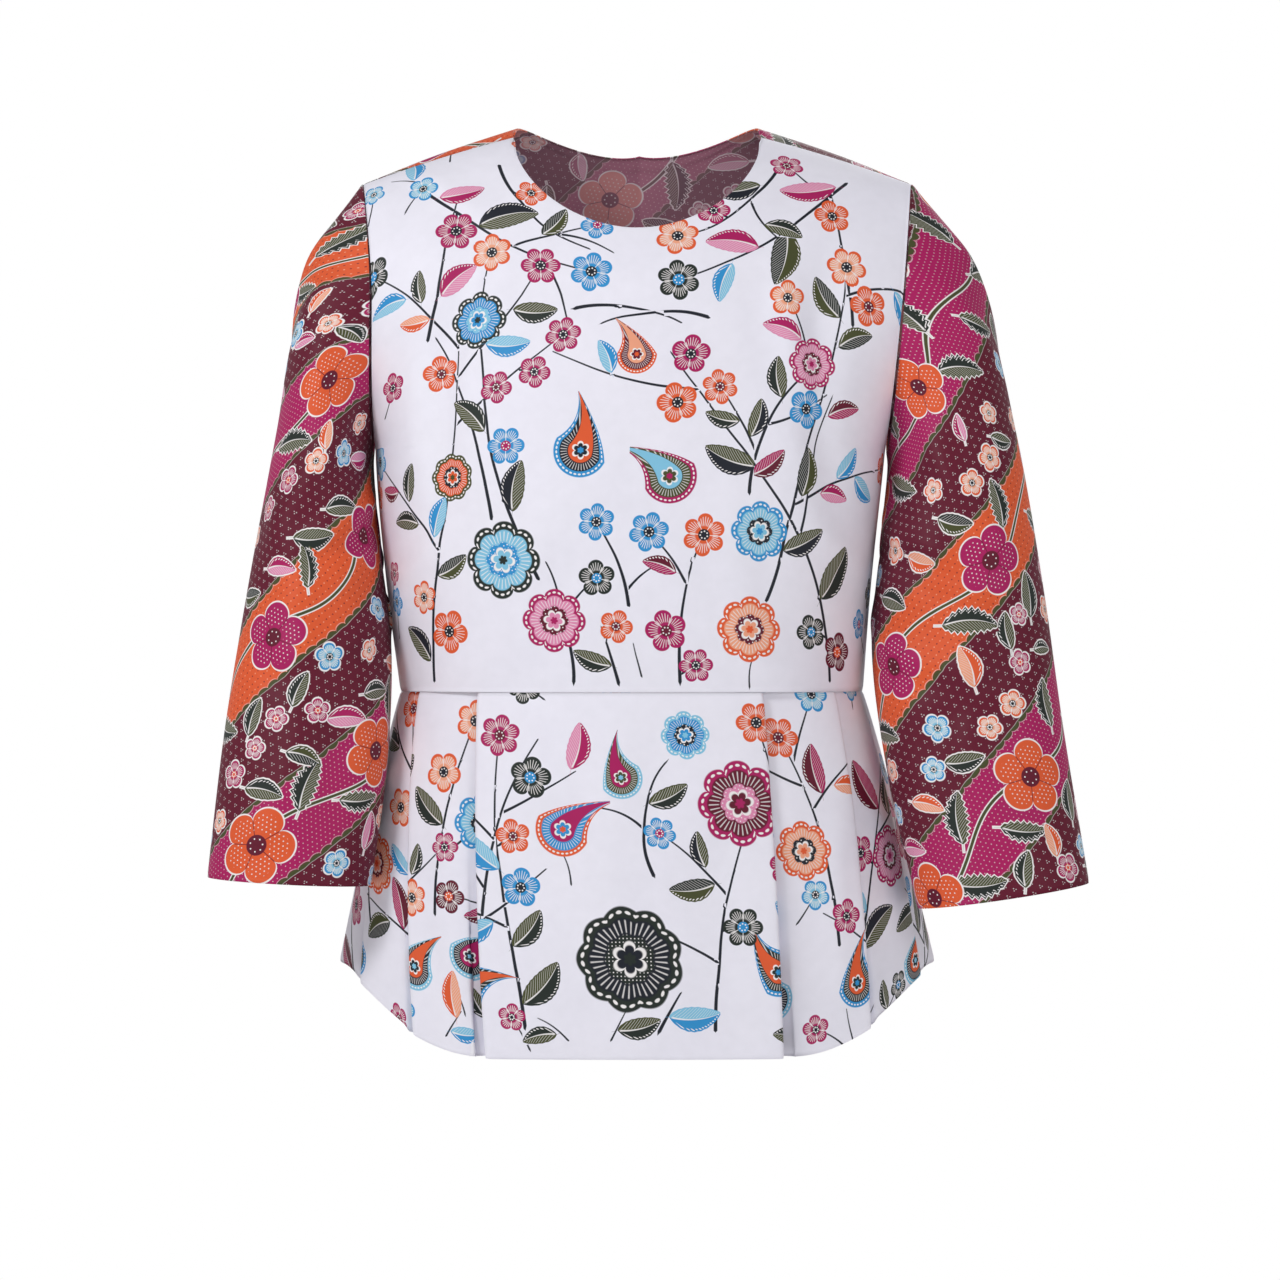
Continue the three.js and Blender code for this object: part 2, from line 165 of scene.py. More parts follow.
# ---------------------------------------------------------------- the cut pieces' surfaces
def section(panel, z):
    row = read_table(RINGS, "z", z)
    half, depth, ex = row["half"], row[panel["depth"]], row["round"]
    drop = np.clip((YOKE_Z - z) / (YOKE_Z - UNDERARM_Z), 0, 1)
    edge_depth = panel["armhole"] * np.sqrt(1 - drop * drop)
    wide = half / (1 - (edge_depth / depth) ** ex) ** (1 / ex)
    edge = np.where(drop < 1, np.arcsin(np.clip((half / wide) ** (ex / 2), 0, 1)), QUARTER)
    return wide, depth, ex, row["shift"], edge


def ring_point(panel, across, z):
    wide, depth, ex, shift, edge = section(panel, np.asarray(z, float))
    angle = across * edge
    return vec(
        shift + wide * power(np.sin(angle), 2 / ex),
        panel["face"] * depth * power(np.maximum(np.cos(angle), 0), 2 / ex),
        z,
    )


YOKE_TO_SHOULDER = TIP["x"] / RINGS[-1]["half"]


def neck_share(panel):
    wide, _, ex, _, edge = section(panel, np.array(YOKE_Z))
    return float(np.arcsin((NECK_HALF / YOKE_TO_SHOULDER / wide) ** (ex / 2)) / edge)


def seam_point(panel, across):
    x = ring_point(panel, across, YOKE_Z)[..., 0] * YOKE_TO_SHOULDER
    fall = TIP["z"] / (1 - (TIP["x"] / NECK_HALF) ** SHOULDER_BEND)
    out = np.maximum((np.abs(x) - NECK_HALF) / (TIP["x"] - NECK_HALF), 0)
    y = lerp(SEAM_Y, TIP["y"], out) + panel["face"] * SEAM_GAP / 2
    return vec(x, y, fall * (1 - (np.abs(x) / NECK_HALF) ** SHOULDER_BEND))


def yoke_surface(panel, across, t):
    foot = ring_point(panel, across, YOKE_Z)
    flow = read_table(panel["flow"], "at", np.abs(across))
    start = unit(foot - ring_point(panel, across, YOKE_Z - 4)) * flow["rise"][..., None]
    end = vec(np.sign(across) * flow["out"], -panel["face"] * flow["over"], flow["up"])
    return hermite(foot, start, seam_point(panel, across), end, np.asarray(t, float)[..., None])


def yoke_point(panel, across, t):
    share = neck_share(panel)
    reach = np.abs(across)
    angle = np.minimum(reach / share, 1) * QUARTER
    end = np.where(reach < share, np.sign(across) * share * np.sin(angle), across)
    scoop = (1 - panel["foot"]) * np.maximum(np.cos(angle), 0) ** panel["round"]
    cut = np.where(reach < share, 1 - scoop, 1)
    return yoke_surface(panel, lerp(across, end, t), t * cut)


def armhole_point(panel, side, t):
    t = np.asarray(t, float)
    drop = np.cos(2 * np.minimum(t, 0.5) * QUARTER)
    low = ring_point(panel, side + 0 * t, YOKE_Z - (YOKE_Z - UNDERARM_Z) * drop)
    high = yoke_point(panel, side + 0 * t, np.clip(2 * t - 1, 0, 1))
    return np.where((t > 0.5)[..., None], high, low)


def bodice_grid(panel, half_columns=66, low=46, armhole=42, yoke=54):
    """Rows from the waist seam up, columns from the wearer's right to the left."""
    share = neck_share(panel)
    neck = round(half_columns * 0.45)
    middle, shoulder = np.linspace(0, share, neck + 1), np.linspace(share, 1, half_columns - neck + 1)
    half = np.concatenate([middle[:-1], shoulder])
    across = np.concatenate([-half[::-1], half[1:]])
    rows = []
    for i in range(low):
        rows.append(ring_point(panel, across, lerp(WAIST_Z + SEAM_GAP / 2, UNDERARM_Z, i / low)))
    for i in range(armhole):
        drop = math.cos(i / armhole * QUARTER)
        rows.append(ring_point(panel, across, YOKE_Z - (YOKE_Z - UNDERARM_Z) * drop))
    for i in range(yoke + 1):
        rows.append(yoke_point(panel, across, np.full_like(across, i / yoke)))
    grid = np.array(rows)
    grid[: low + 1, [0, -1], 1] = panel["face"] * SEAM_GAP / 2
    return grid


def sleeve_grid(side, around=132, along=150):
    """Rows from the cap down to the cuff; columns round from the underarm seam by the front."""
    u = np.linspace(0, 1, around + 1)
    turn = 2 * np.pi * u
    top = (1 - np.cos(turn)) / 2
    rim = np.where(
        (u < 0.5)[:, None],
        armhole_point(FRONT, side, np.minimum(2 * u, 1)),
        armhole_point(BACK, side, np.clip(2 - 2 * u, 0, 1)),
    )
    rows = [dict(at=0, p=rim + vec(side * lerp(2.1, 0.95, top), 0, 0))]
    for r in ARMS[side]:
        p = vec(
            side * lerp(r["ix"], r["ox"], top),
            r["y"] - r["deep"] * np.sin(turn),
            lerp(r["iz"], r["oz"], top),
        )
        rows.append(dict(at=r["at"], p=p))
    down = np.linspace(0, 1, along + 1) ** 1.12
    return np.array([read_table(rows, "at", np.full((around + 1, 1), t))["p"] for t in down])


def skirt_point(panel, across, down):
    waist = RINGS[0]
    flare = down**0.9
    ex = lerp(waist["round"], PEPLUM["round"], flare)
    half = lerp(waist["half"], PEPLUM["half"], flare)
    depth = lerp(waist[panel["depth"]], panel["hem"], flare)
    angle = across * QUARTER
    rise = PEPLUM["rise"] * smooth(np.abs(across), PEPLUM["rise_from"], PEPLUM["rise_to"])
    return vec(
        waist["shift"] * (1 - down) + half * power(np.sin(angle), 2 / ex),
        panel["face"] * depth * power(np.cos(angle), 2 / ex),
        WAIST_Z - SEAM_GAP / 2 - (PEPLUM["length"] - rise - SEAM_GAP / 2) * down,
    )


def sink_at(down):
    return lerp(2 * PEPLUM["layer"], PEPLUM["sink"], down**1.3)


def pleat_corners(pleat, down):
    opened = down**1.3
    layer = PEPLUM["layer"]
    under, deep = lerp(pleat["under"], 5, opened), lerp(layer, pleat["depth"], opened)
    proud = pleat["proud"] * opened
    return [
        (0, -proud),
        (0, layer - proud),
        (-under, deep),
        (-under, deep + layer),
        (lerp(2, pleat["open"], opened), sink_at(down)),
    ]


def peplum_grid(panel, pleats, down_rows=78, spacing=3.4):
    """Rows from the waist seam down; columns over and under every fold, on rounded corners."""
    down = np.linspace(0, 1, down_rows + 1)
    stops = [dict(waist=-1.0, hem=-1.0, under=0)] + pleats + [dict(waist=1.0, hem=1.0, under=0)]
    lines = []  # control lines, each running down from the waist

    def place(waist, hem, out, inward):
        across = lerp(waist, hem, down)
        p = skirt_point(panel, across, down)
        if abs(waist) == 1:
            p[:, 1] = panel["face"] * SEAM_GAP / 2
            return p
        along = skirt_point(panel, across + 0.001, down) - skirt_point(panel, across - 0.001, down)
        along[:, 2] = 0
        along = unit(along)
        into = vec(along[:, 1], -along[:, 0], 0) * panel["face"]
        return p + along * np.asarray(out)[..., None] + into * np.asarray(inward)[..., None]

    for i, stop in enumerate(stops):
        if i:
            start = stops[i - 1]
            left, right = stop["waist"] < 0, start["waist"] > 0
            for k in range(1, 8):
                t = k / 8
                sink = t if left else (1 - t if right else 0)
                near_start = 0 if right else max(1 - (1 if left else 2) * t, 0) ** 2
                near_stop = 0 if left else max(1 - (1 if right else 2) * (1 - t), 0) ** 2
                proud = start.get("proud", 0) * near_start + stop.get("proud", 0) * near_stop
                if t < 0.1 and not start["under"] or t > 0.9 and not stop["under"]:
                    continue
                inward = sink * sink_at(down) - proud * down**1.3
                waist, hem = lerp(start["waist"], stop["waist"], t), lerp(start["hem"], stop["hem"], t)
                lines.append(place(waist, hem, 0 * down, inward))
        if not stop["under"]:
            lines.append(place(stop["waist"], stop["hem"], 0 * down, 0 * down))
            continue
        side = 1 if stop["waist"] > 0 else -1
        corners = [np.array(c) for c in zip(*[pleat_corners(stop, d) for d in down])]
        made = [place(stop["waist"], stop["hem"], side * c[:, 0], c[:, 1]) for c in corners]
        lines += made if side > 0 else made[::-1]
    control = np.array(lines).transpose(1, 0, 2)  # rows, control columns, xyz
    # Fine columns: each stretch between control lines is divided by its length half way down.
    mid = control[len(down) // 2]
    grid = []
    for j in range(len(mid) - 1):
        n = max(2, int(np.ceil(np.linalg.norm(mid[j + 1] - mid[j]) / spacing)))
        for k in range(n):
            grid.append(lerp(control[:, j], control[:, j + 1], k / n))
    grid.append(control[:, -1])
    grid = np.array(grid).transpose(1, 0, 2)
    # Round the corners a little, as pressed cloth does, keeping the two side seams.
    for _ in range(3):
        grid[:, 1:-1] = 0.5 * grid[:, 1:-1] + 0.25 * (grid[:, :-2] + grid[:, 2:])
    return grid


# ---------------------------------------------------------------- flat cloth, folds and walls
def steps(grid, axis, drop=()):
    """Distances run along one axis of a grid of points, leaving out some of x, y and z."""
    moved = np.diff(grid, axis=axis)
    for part in drop:
        moved[..., part] = 0
    run = np.cumsum(np.linalg.norm(moved, axis=2), axis=axis)
    start = np.zeros((1, grid.shape[1]) if axis == 0 else (len(grid), 1))
    return np.concatenate([start, run], axis)


def bodice_flat(grid):
    """s along a level section from the centre, t up the cloth from the waist."""
    level = int(np.argmin(np.abs(grid[:, 0, 2] - YOKE_Z)))
    across = steps(grid, 1)
    centre = grid.shape[1] // 2
    across -= across[:, centre : centre + 1]
    widening = np.linspace(1, YOKE_TO_SHOULDER, len(grid) - level)[:, None]
    across[level:] = np.interp(grid[level:, :, 0] / widening, grid[level, :, 0], across[level])
    return np.stack([across, steps(grid, 0, drop=(0,))], -1)


def sleeve_flat(grid):
    """s round the arm from the underarm, t down the cloth to 0 at the level cuff."""
    down = steps(grid, 0)
    return np.stack([steps(grid, 1), down - down[-1:]], -1)


def skirt_flat(grid):
    """s along each row from the middle, t down the cloth from the level waist."""
    across = steps(grid, 1)
    centre = int(np.argmin(np.abs(grid[0, :, 0])))
    return np.stack([across - across[:, centre : centre + 1], steps(grid, 0)], -1)


def normals_of(grid, wraps=False):
    if wraps:
        wide = np.concatenate([grid[:, -2:-1], grid, grid[:, 1:2]], 1)
        across = wide[:, 2:] - wide[:, :-2]
    else:
        across = np.gradient(grid, axis=1)
    return unit(np.cross(across, np.gradient(grid, axis=0)))


def fold_height(flat, folds):
    """Soft ridges and troughs: each is a line at (s, t), turned by angle, of a length, width and height."""
    total = np.zeros(flat.shape[:2])
    for s, t, angle, length, width, height in folds:
        a = math.radians(angle)
        ds, dt = flat[..., 0] - s, flat[..., 1] - t
        along, aside = ds * math.cos(a) + dt * math.sin(a), dt * math.cos(a) - ds * math.sin(a)
        aside = aside + 0.0016 * along * along * (1 if (s + t) % 2 < 1 else -1)
        ridge = np.exp(-((aside / width) ** 2)) - 0.45 * np.exp(-(((aside - 1.7 * width) / width) ** 2))
        total += height * ridge * np.exp(-((along / (0.55 * length)) ** 4))
    return total


def edge_distance(grid, wraps=False):
    """How far each point is from the piece's first row, last row, first column and last column."""
    s, t = steps(grid, 1), steps(grid, 0)
    sides = (s, s[:, -1:] - s) if not wraps else (1e3 + 0 * s, 1e3 + 0 * s)
    return [t, t[-1:] - t, *sides]


def wall_corners(rows, columns, wraps):
    """Every face of a wall by its corners, each (row, column, layer), and the count of outer faces."""
    i, j = (k.ravel() for k in np.meshgrid(np.arange(rows - 1), np.arange(columns - 1), indexing="ij"))
    outer = [(i, j, 0), (i, j + 1, 0), (i + 1, j + 1, 0), (i + 1, j, 0)]
    faces = [outer, [(row, column, 1) for row, column, _ in outer[::-1]]]
    j = np.arange(columns - 1)
    for row in (0, rows - 1):
        turned = [(row, j, 0), (row, j + 1, 0), (row, j + 1, 1), (row, j, 1)]
        faces.append(turned if row == 0 else turned[::-1])
    if not wraps:
        i = np.arange(rows - 1)
        for column in (0, columns - 1):
            turned = [(i, column, 0), (i + 1, column, 0), (i + 1, column, 1), (i, column, 1)]
            faces.append(turned[::-1] if column == 0 else turned)
    joined = [np.stack([np.stack(np.broadcast_arrays(*corner), -1) for corner in face], 1) for face in faces]
    return np.concatenate(joined), len(joined[0])


def wall(name, grid, flat, normals, thick, material, wraps, corner_data):
    """A closed thin wall round a grid: outer face, inner face and the turned edges between them."""
    rows, columns = grid.shape[:2]
    keep = columns - 1 if wraps else columns
    outer = grid[:, :keep] + normals[:, :keep] * CLOTH / 2
    inner = grid[:, :keep] - normals[:, :keep] * (thick[:, :keep, None] - CLOTH / 2)
    points = np.concatenate([outer.reshape(-1, 3), inner.reshape(-1, 3)]) * MM
    corners, count = wall_corners(rows, columns, wraps)
    row, column, layer = np.moveaxis(corners, -1, 0)
    faces = layer * rows * keep + row * keep + column % keep
    order = np.arange(len(faces))
    wrong_side = (order >= count) & (order < 2 * count)
    mesh = bpy.data.meshes.new(name + "_cloth")
    mesh.vertices.add(len(points))
    mesh.vertices.foreach_set("co", points.ravel())
    mesh.loops.add(faces.size)
    mesh.loops.foreach_set("vertex_index", faces.ravel().astype(np.int32))
    mesh.polygons.add(len(faces))
    mesh.polygons.foreach_set("loop_start", np.arange(0, faces.size, 4, dtype=np.int32))
    mesh.polygons.foreach_set("loop_total", np.full(len(faces), 4, dtype=np.int32))
    mesh.polygons.foreach_set("use_smooth", order < 2 * count)
    mesh.update(calc_edges=True)
    mesh.validate()
    flat_corners = flat[row, column]
    data = corner_data(flat_corners.mean(1), flat_corners)
    wrong_side = np.repeat(wrong_side[:, None, None], 4, 1).astype(float)
    data["flat"] = np.concatenate([flat_corners, wrong_side], -1)
    for key, values in data.items():
        attribute = mesh.attributes.new(key, "FLOAT_VECTOR", "CORNER")
        attribute.data.foreach_set("vector", np.ascontiguousarray(values, np.float32).ravel())
    uv = mesh.uv_layers.new(name="cloth")
    uv.data.foreach_set("uv", (flat_corners * MM).astype(np.float32).ravel())
    ob = bpy.data.objects.new(name + "_cloth", mesh)
    bpy.context.scene.collection.objects.link(ob)
    mesh.materials.append(material)
    return ob


# ---------------------------------------------------------------- the prints' colours
def colour(r, g, b):
    """A screen colour, 0 to 255, as Blender's linear one."""
    shares = (r / 255, g / 255, b / 255)
    return tuple(c / 12.92 if c <= 0.04045 else ((c + 0.055) / 1.055) ** 2.4 for c in shares)


WHITE = colour(243, 241, 251)
CREAM = colour(244, 240, 240)
NAVY = colour(27, 31, 42)
BOTTLE = colour(36, 44, 40)
OLIVE = colour(72, 76, 42)
BLUE = colour(48, 146, 208)
SKY = colour(132, 196, 226)
MAGENTA = colour(172, 24, 94)
PINK = colour(224, 140, 178)
ORANGE = colour(226, 92, 48)
PEACH = colour(240, 164, 132)
BURGUNDY = colour(99, 17, 43)

LEAF_COLOURS = [
    (BOTTLE, OLIVE), (NAVY, OLIVE), (BOTTLE, OLIVE), (OLIVE, BOTTLE), (BOTTLE, OLIVE),
    (MAGENTA, PINK), (BURGUNDY, MAGENTA), (BLUE, SKY), (ORANGE, PEACH), (NAVY, OLIVE),
]
MAGENTA_BLOOM, ORANGE_BLOOM = (MAGENTA, MAGENTA, BURGUNDY), (ORANGE, ORANGE, BURGUNDY)
SMALL_BLOOMS = [(BLUE, SKY, NAVY), (ORANGE, PEACH, NAVY), (MAGENTA, MAGENTA, ORANGE)]
SMALL_LEAVES = [(BOTTLE, OLIVE), (BOTTLE, OLIVE), (OLIVE, BOTTLE), (MAGENTA, PINK), (ORANGE, PEACH)]
FLOWER_COLOURS = [
    (ORANGE, ORANGE, BURGUNDY), (BLUE, BLUE, NAVY), (MAGENTA, MAGENTA, BURGUNDY), (ORANGE, ORANGE, NAVY),
    (BOTTLE, BOTTLE, BLUE), (BURGUNDY, BURGUNDY, ORANGE), (BLUE, BLUE, MAGENTA), (ORANGE, PEACH, NAVY),
    (MAGENTA, MAGENTA, NAVY), (BLUE, SKY, NAVY),
]
LEAF_WIDTH = 0.25  # half the width of a leaf, as a share of its length


BOTEH, PAD, BLOOM = 0, 1, 2  # the kinds of large form
STRIDE = 9.0  # a growing stem's step, mm
STEM_REACH = 12.0  # how far from a stem its distance is kept, mm
STEM_WINDOW, STEM_MARGIN = 24, 8  # points of a stem measured together, and taken in beyond them


def run_along(line):
    """The distance of each point of a line from its start."""
    return np.concatenate([[0], np.cumsum(np.linalg.norm(np.diff(line, axis=0), axis=1))])


def seen_from(points, s, t, a):
    """Points along and across a direction, from a place."""
    ds, dt = points[..., 0] - s, points[..., 1] - t
    return ds * np.cos(a) + dt * np.sin(a), dt * np.cos(a) - ds * np.sin(a)


class Print:
    """Where the motifs of one flat panel lie: stems, large forms, leaves and flowers, in millimetres."""

    def __init__(self, seed, low, high):
        self.random = random.Random(seed)
        self.low, self.high = low, high
        self.stems, self.leaves, self.flowers, self.bigs = [], [], [], []
        self.taken = []

    def inside(self, s, t):
        return self.low[0] < s < self.high[0] and self.low[1] < t < self.high[1]

    def free(self, s, t, r, keep=True):
        if not self.inside(s, t) or any(math.hypot(s - a, t - b) < r + c for a, b, c in self.taken):
            return False
        if keep:
            self.taken.append((s, t, r))
        return True

    def stem(self, points, width=1.3, taper=0.35, layer="stem"):
        p = np.array(points, float)
        for _ in range(3):  # Chaikin corner cutting
            q = [p[:1]]
            for a, b in zip(p[:-1], p[1:]):
                q.append(np.array([lerp(a, b, 0.25), lerp(a, b, 0.75)]))
            q.append(p[-1:])
            p = np.concatenate(q)
        self.stems.append((p, width, taper, layer))
        return p

    def leaf(self, s, t, angle, length, colours=None, serrated=0):
        a = math.radians(angle)
        mid = (s + math.cos(a) * length * 0.5, t + math.sin(a) * length * 0.5)
        if not self.free(*mid, length * 0.3):
            return False
        colours = colours or self.random.choice(LEAF_COLOURS)
        turn = self.random.choice((-1, 1))
        self.leaves.append((s, t, a, length, (serrated, turn, 0), colours))
        return True

    def flower(self, s, t, radius, petals=5, dotted=0, colours=None):
        if not self.free(s, t, radius * 1.02):
            return False
        colours = colours or self.random.choice(FLOWER_COLOURS)
        self.flowers.append((s, t, self.random.uniform(0, 6.28), radius, (petals, dotted, 0), colours))
        return True

    def big(self, s, t, angle, radius, kind, colours):
        if not self.free(s, t, radius * 0.95):
            return
        a = math.radians(angle)
        if kind == BOTEH:  # its tip takes room as well
            self.taken.append((s + math.cos(a) * radius * 1.1, t + math.sin(a) * radius * 1.1, radius * 0.5))
        self.bigs.append((s, t, a, radius, (kind, 0, 0), colours))

    def spray(self, start, heading, length, curl=0.0, width=2.3, every=27, leaf=37, end=None, blooms=0.42,
              branch=0.0):
        """A stem that grows from start, with leaves, blossoms on stalks, branches and a bloom at its end."""
        rnd = self.random
        s, t = start
        a = math.radians(heading)
        points = [(s, t)]
        for k in range(max(2, int(length / STRIDE))):
            bend = math.radians(curl) * STRIDE / length * (1 + 0.5 * math.sin(k * 0.9))
            a += bend + rnd.uniform(-0.06, 0.06)
            s, t = s + STRIDE * math.cos(a), t + STRIDE * math.sin(a)
            if not self.inside(s, t):
                break
            points.append((s, t))
        if len(points) < 3:
            return
        line = self.stem(points, width)
        if end:
            self.flower(*line[-1], *end)
        run = run_along(line)
        side, at = rnd.choice((-1, 1)), every * rnd.uniform(0.3, 0.6)
        while at < run[-1] - 4:
            k = min(max(int(np.searchsorted(run, at)), 1), len(line) - 1)
            here = line[k]
            direction = math.atan2(*(line[k] - line[k - 1])[::-1])
            roll = rnd.random()
            if roll < blooms:
                self.stalk(here, direction, side, width * 0.7)
            elif roll < blooms + branch:
                self.spray(
                    tuple(here), math.degrees(direction) + side * rnd.uniform(35, 60), length * 0.42,
                    -curl * 0.5, width * 0.75, every * 0.85, leaf * 0.85,
                    (rnd.uniform(11, 15), rnd.choice((5, 6)), 0), 0.2, 0,
                )
            else:
                size = leaf * rnd.uniform(0.75, 1.2)
                out = direction + side * rnd.uniform(0.55, 1.0)
                root = here + 2.5 * np.array((math.cos(out), math.sin(out)))
                self.leaf(*root, math.degrees(out), size)
            side = -side
            at += every * rnd.uniform(0.55, 0.95)

    def stalk(self, here, direction, side, width):
        """A small blossom on a short stalk beside a stem, where there is room for it."""
        rnd = self.random
        reach = rnd.uniform(11, 16)
        out = direction + side * rnd.uniform(0.8, 1.3)
        spot = here + reach * np.array((math.cos(out), math.sin(out)))
        if self.flower(*spot, rnd.uniform(11.5, 16), rnd.choice((5, 5, 6))):
            self.stem([here, lerp(here, spot, 0.5) + rnd.uniform(-1, 1), spot], width, 0.7, "stalk")

    def corner_data(self, centres, corners):
        """Which motif each face belongs to, and that motif's own coordinates at each of its corners."""
        out = {}
        for layer in ("stem", "stalk"):
            stems = [line for line in self.stems if line[3] == layer]
            out[layer] = self.stem_corners(centres, corners, stems)

        def big_share(x, y, radius, kind):
            long = kind[0] == BOTEH
            return np.hypot(x - (0.55 * radius if long else 0), y) / (radius * (1.75 if long else 1.2))

        def leaf_share(x, y, length, kind):
            return np.hypot((x / length - 0.5) / 0.56, y / (length * LEAF_WIDTH) / 1.05)

        def flower_share(x, y, radius, kind):
            return np.hypot(x, y) / radius

        def round_place(x, y, radius, kind):
            return x, y, radius

        def leaf_place(x, y, length, kind):
            return x / length, kind[1] * y / (length * LEAF_WIDTH), length

        for name, motifs, limit, nowhere, share, place, tones in (
            ("big", self.bigs, 1.0, (900.0, 0.0, 30.0), big_share, round_place, 3),
            ("leaf", self.leaves, 1.45, (-9.0, 9.0, 30.0), leaf_share, leaf_place, 2),
            ("flower", self.flowers, 1.5, (900.0, 0.0, 10.0), flower_share, round_place, 3),
        ):
            best = np.full(len(centres), limit)
            where = np.full(corners.shape[:2] + (3,), nowhere)
            kinds, *painted = np.zeros((1 + tones, *where.shape))
            for s, t, a, size, kind, colours in motifs:
                near = share(*seen_from(centres, s, t, a), size, kind)
                ids = np.nonzero(near < best)[0]
                best[ids] = near[ids]
                at = place(*seen_from(corners[ids], s, t, a), size, kind)
                where[ids] = np.stack(np.broadcast_arrays(*at), -1)
                kinds[ids] = kind
                for coat, tint in zip(painted, colours):
                    coat[ids] = tint
            out[name], out[name + "_kind"] = where, kinds
            out.update(zip((name + "_a", name + "_b", name + "_c"), painted))
        return out

    def stem_corners(self, centres, corners, stems):
        """At each corner: distance to the nearest stem, half its width less any overshoot, distance along."""
        n = len(centres)
        out = np.tile((99.0, -9.0, 0.0), (n, 4, 1))
        best = np.full(n, STEM_REACH)
        for line, width, taper, _ in stems:
            run = run_along(line)
            for k in range(0, len(line) - 1, STEM_WINDOW):
                part = line[k : k + STEM_WINDOW + 1]
                above, below = centres > part.min(0) - STEM_REACH, centres < part.max(0) + STEM_REACH
                ids = np.nonzero(above.all(1) & below.all(1))[0]
                if not len(ids):
                    continue
                dist = self.to_line(centres[ids], part)[0]
                ids = ids[np.abs(dist) < np.minimum(best[ids], STEM_REACH)]
                if not len(ids):
                    continue
                start, stop = max(0, k - STEM_MARGIN), min(len(line), k + STEM_WINDOW + 1 + STEM_MARGIN)
                dist, at, past = self.to_line(corners[ids].reshape(-1, 2), line[start:stop])
                at = at + run[start]
                best[ids] = np.abs(dist.reshape(-1, 4).mean(1))
                half = width * lerp(1, taper, np.clip(at / run[-1], 0, 1)) * 0.5 + 0.15
                before_start = (start == 0) & (past < 0) & (at < 1)
                after_end = (stop == len(line)) & (past > 0) & (at > run[-1] - 1)
                half = np.where(before_start | after_end, -np.abs(past), half)
                out[ids] = np.stack([dist, half, at], -1).reshape(-1, 4, 3)
        return out

    @staticmethod
    def to_line(points, line):
        """Signed distance to a line of points, distance along it, and how far before or past its ends."""
        a, b = line[:-1], line[1:]
        ab = b - a
        length = np.maximum(np.linalg.norm(ab, axis=1), 1e-9)
        start = np.concatenate([[0], np.cumsum(length)])
        ap = points[:, None] - a[None]
        k = (ap * ab[None]).sum(-1) / length**2
        kc = np.clip(k, 0, 1)
        away = ap - kc[..., None] * ab[None]
        dist = np.linalg.norm(away, axis=-1)
        i = dist.argmin(1)
        r = np.arange(len(points))
        side = np.sign(ab[i, 0] * ap[r, i, 1] - ab[i, 1] * ap[r, i, 0])
        at = start[i] + kc[r, i] * length[i]
        past = np.minimum(k[:, 0], 0) * length[0] + np.maximum(k[:, -1] - 1, 0) * length[-1]
        return dist[r, i] * side, at, past


# ---------------------------------------------------------------- shader arithmetic
def feed(slot, value):
    """Give a shader's input a number, a colour or another node's output."""
    if isinstance(value, Sum):
        value = value.socket
    if isinstance(value, bpy.types.NodeSocket):
        Sum.tree.links.new(value, slot)
    else:
        slot.default_value = (*value, 1) if isinstance(value, tuple) else value


class Sum:
    """A number inside a shader, made of math nodes as Python works it out."""

    tree = None

    def __init__(self, socket):
        self.socket = socket

    @staticmethod
    def math(operation, *inputs):
        node = Sum.tree.nodes.new("ShaderNodeMath")
        node.operation = operation
        for slot, value in zip(node.inputs, inputs):
            feed(slot, value)
        return Sum(node.outputs[0])

    def __add__(self, other):
        return Sum.math("ADD", self, other)

    def __sub__(self, other):
        return Sum.math("SUBTRACT", self, other)

    def __rsub__(self, other):
        return Sum.math("SUBTRACT", other, self)

    def __mul__(self, other):
        return Sum.math("MULTIPLY", self, other)

    def __truediv__(self, other):
        return Sum.math("DIVIDE", self, other)

    def __rtruediv__(self, other):
        return Sum.math("DIVIDE", other, self)

    def __neg__(self):
        return Sum.math("MULTIPLY", self, -1.0)

    __radd__, __rmul__ = __add__, __mul__


def sine(x):
    return Sum.math("SINE", x)


def absolute(x):
    return Sum.math("ABSOLUTE", x)


def fraction(x):
    return Sum.math("FRACT", x)


def least(a, b):
    return Sum.math("MINIMUM", a, b)


def most(a, b):
    return Sum.math("MAXIMUM", a, b)


def wave(x, period):
    """0 at whole periods and 1 half way between, in straight lines."""
    return absolute(fraction(x / period) * 2.0 - 1.0)


def under(x, limit, soft=0.35):
    """1 where x is under limit, 0 above it, with a narrow soft edge."""
    node = Sum.tree.nodes.new("ShaderNodeMapRange")
    node.interpolation_type = "SMOOTHSTEP"
    for slot, value in zip(node.inputs, (x, limit - soft, limit + soft, 1.0, 0.0)):
        feed(slot, value)
    return Sum(node.outputs[0])


def split(name):
    """The three numbers of a face-corner attribute."""
    node = Sum.tree.nodes.new("ShaderNodeAttribute")
    node.attribute_name = name
    parts = Sum.tree.nodes.new("ShaderNodeSeparateXYZ")
    feed(parts.inputs[0], node.outputs["Vector"])
    return [Sum(out) for out in parts.outputs]


def tone(name):
    """The colour that a face-corner attribute holds."""
    node = Sum.tree.nodes.new("ShaderNodeAttribute")
    node.attribute_name = name
    return node.outputs["Color"]


def paint(base, top, share):
    """The colour base, with top painted over it by share."""
    node = Sum.tree.nodes.new("ShaderNodeMix")
    node.data_type = "RGBA"
    feed(node.inputs["Factor"], share)
    feed(node.inputs[6], base)
    feed(node.inputs[7], top)
    return node.outputs[2]


def noise(vector, scale, detail=2.0, rough=0.5):
    node = Sum.tree.nodes.new("ShaderNodeTexNoise")
    node.inputs["Scale"].default_value = scale
    node.inputs["Detail"].default_value = detail
    node.inputs["Roughness"].default_value = rough
    feed(node.inputs["Vector"], vector)
    return Sum(node.outputs[0])


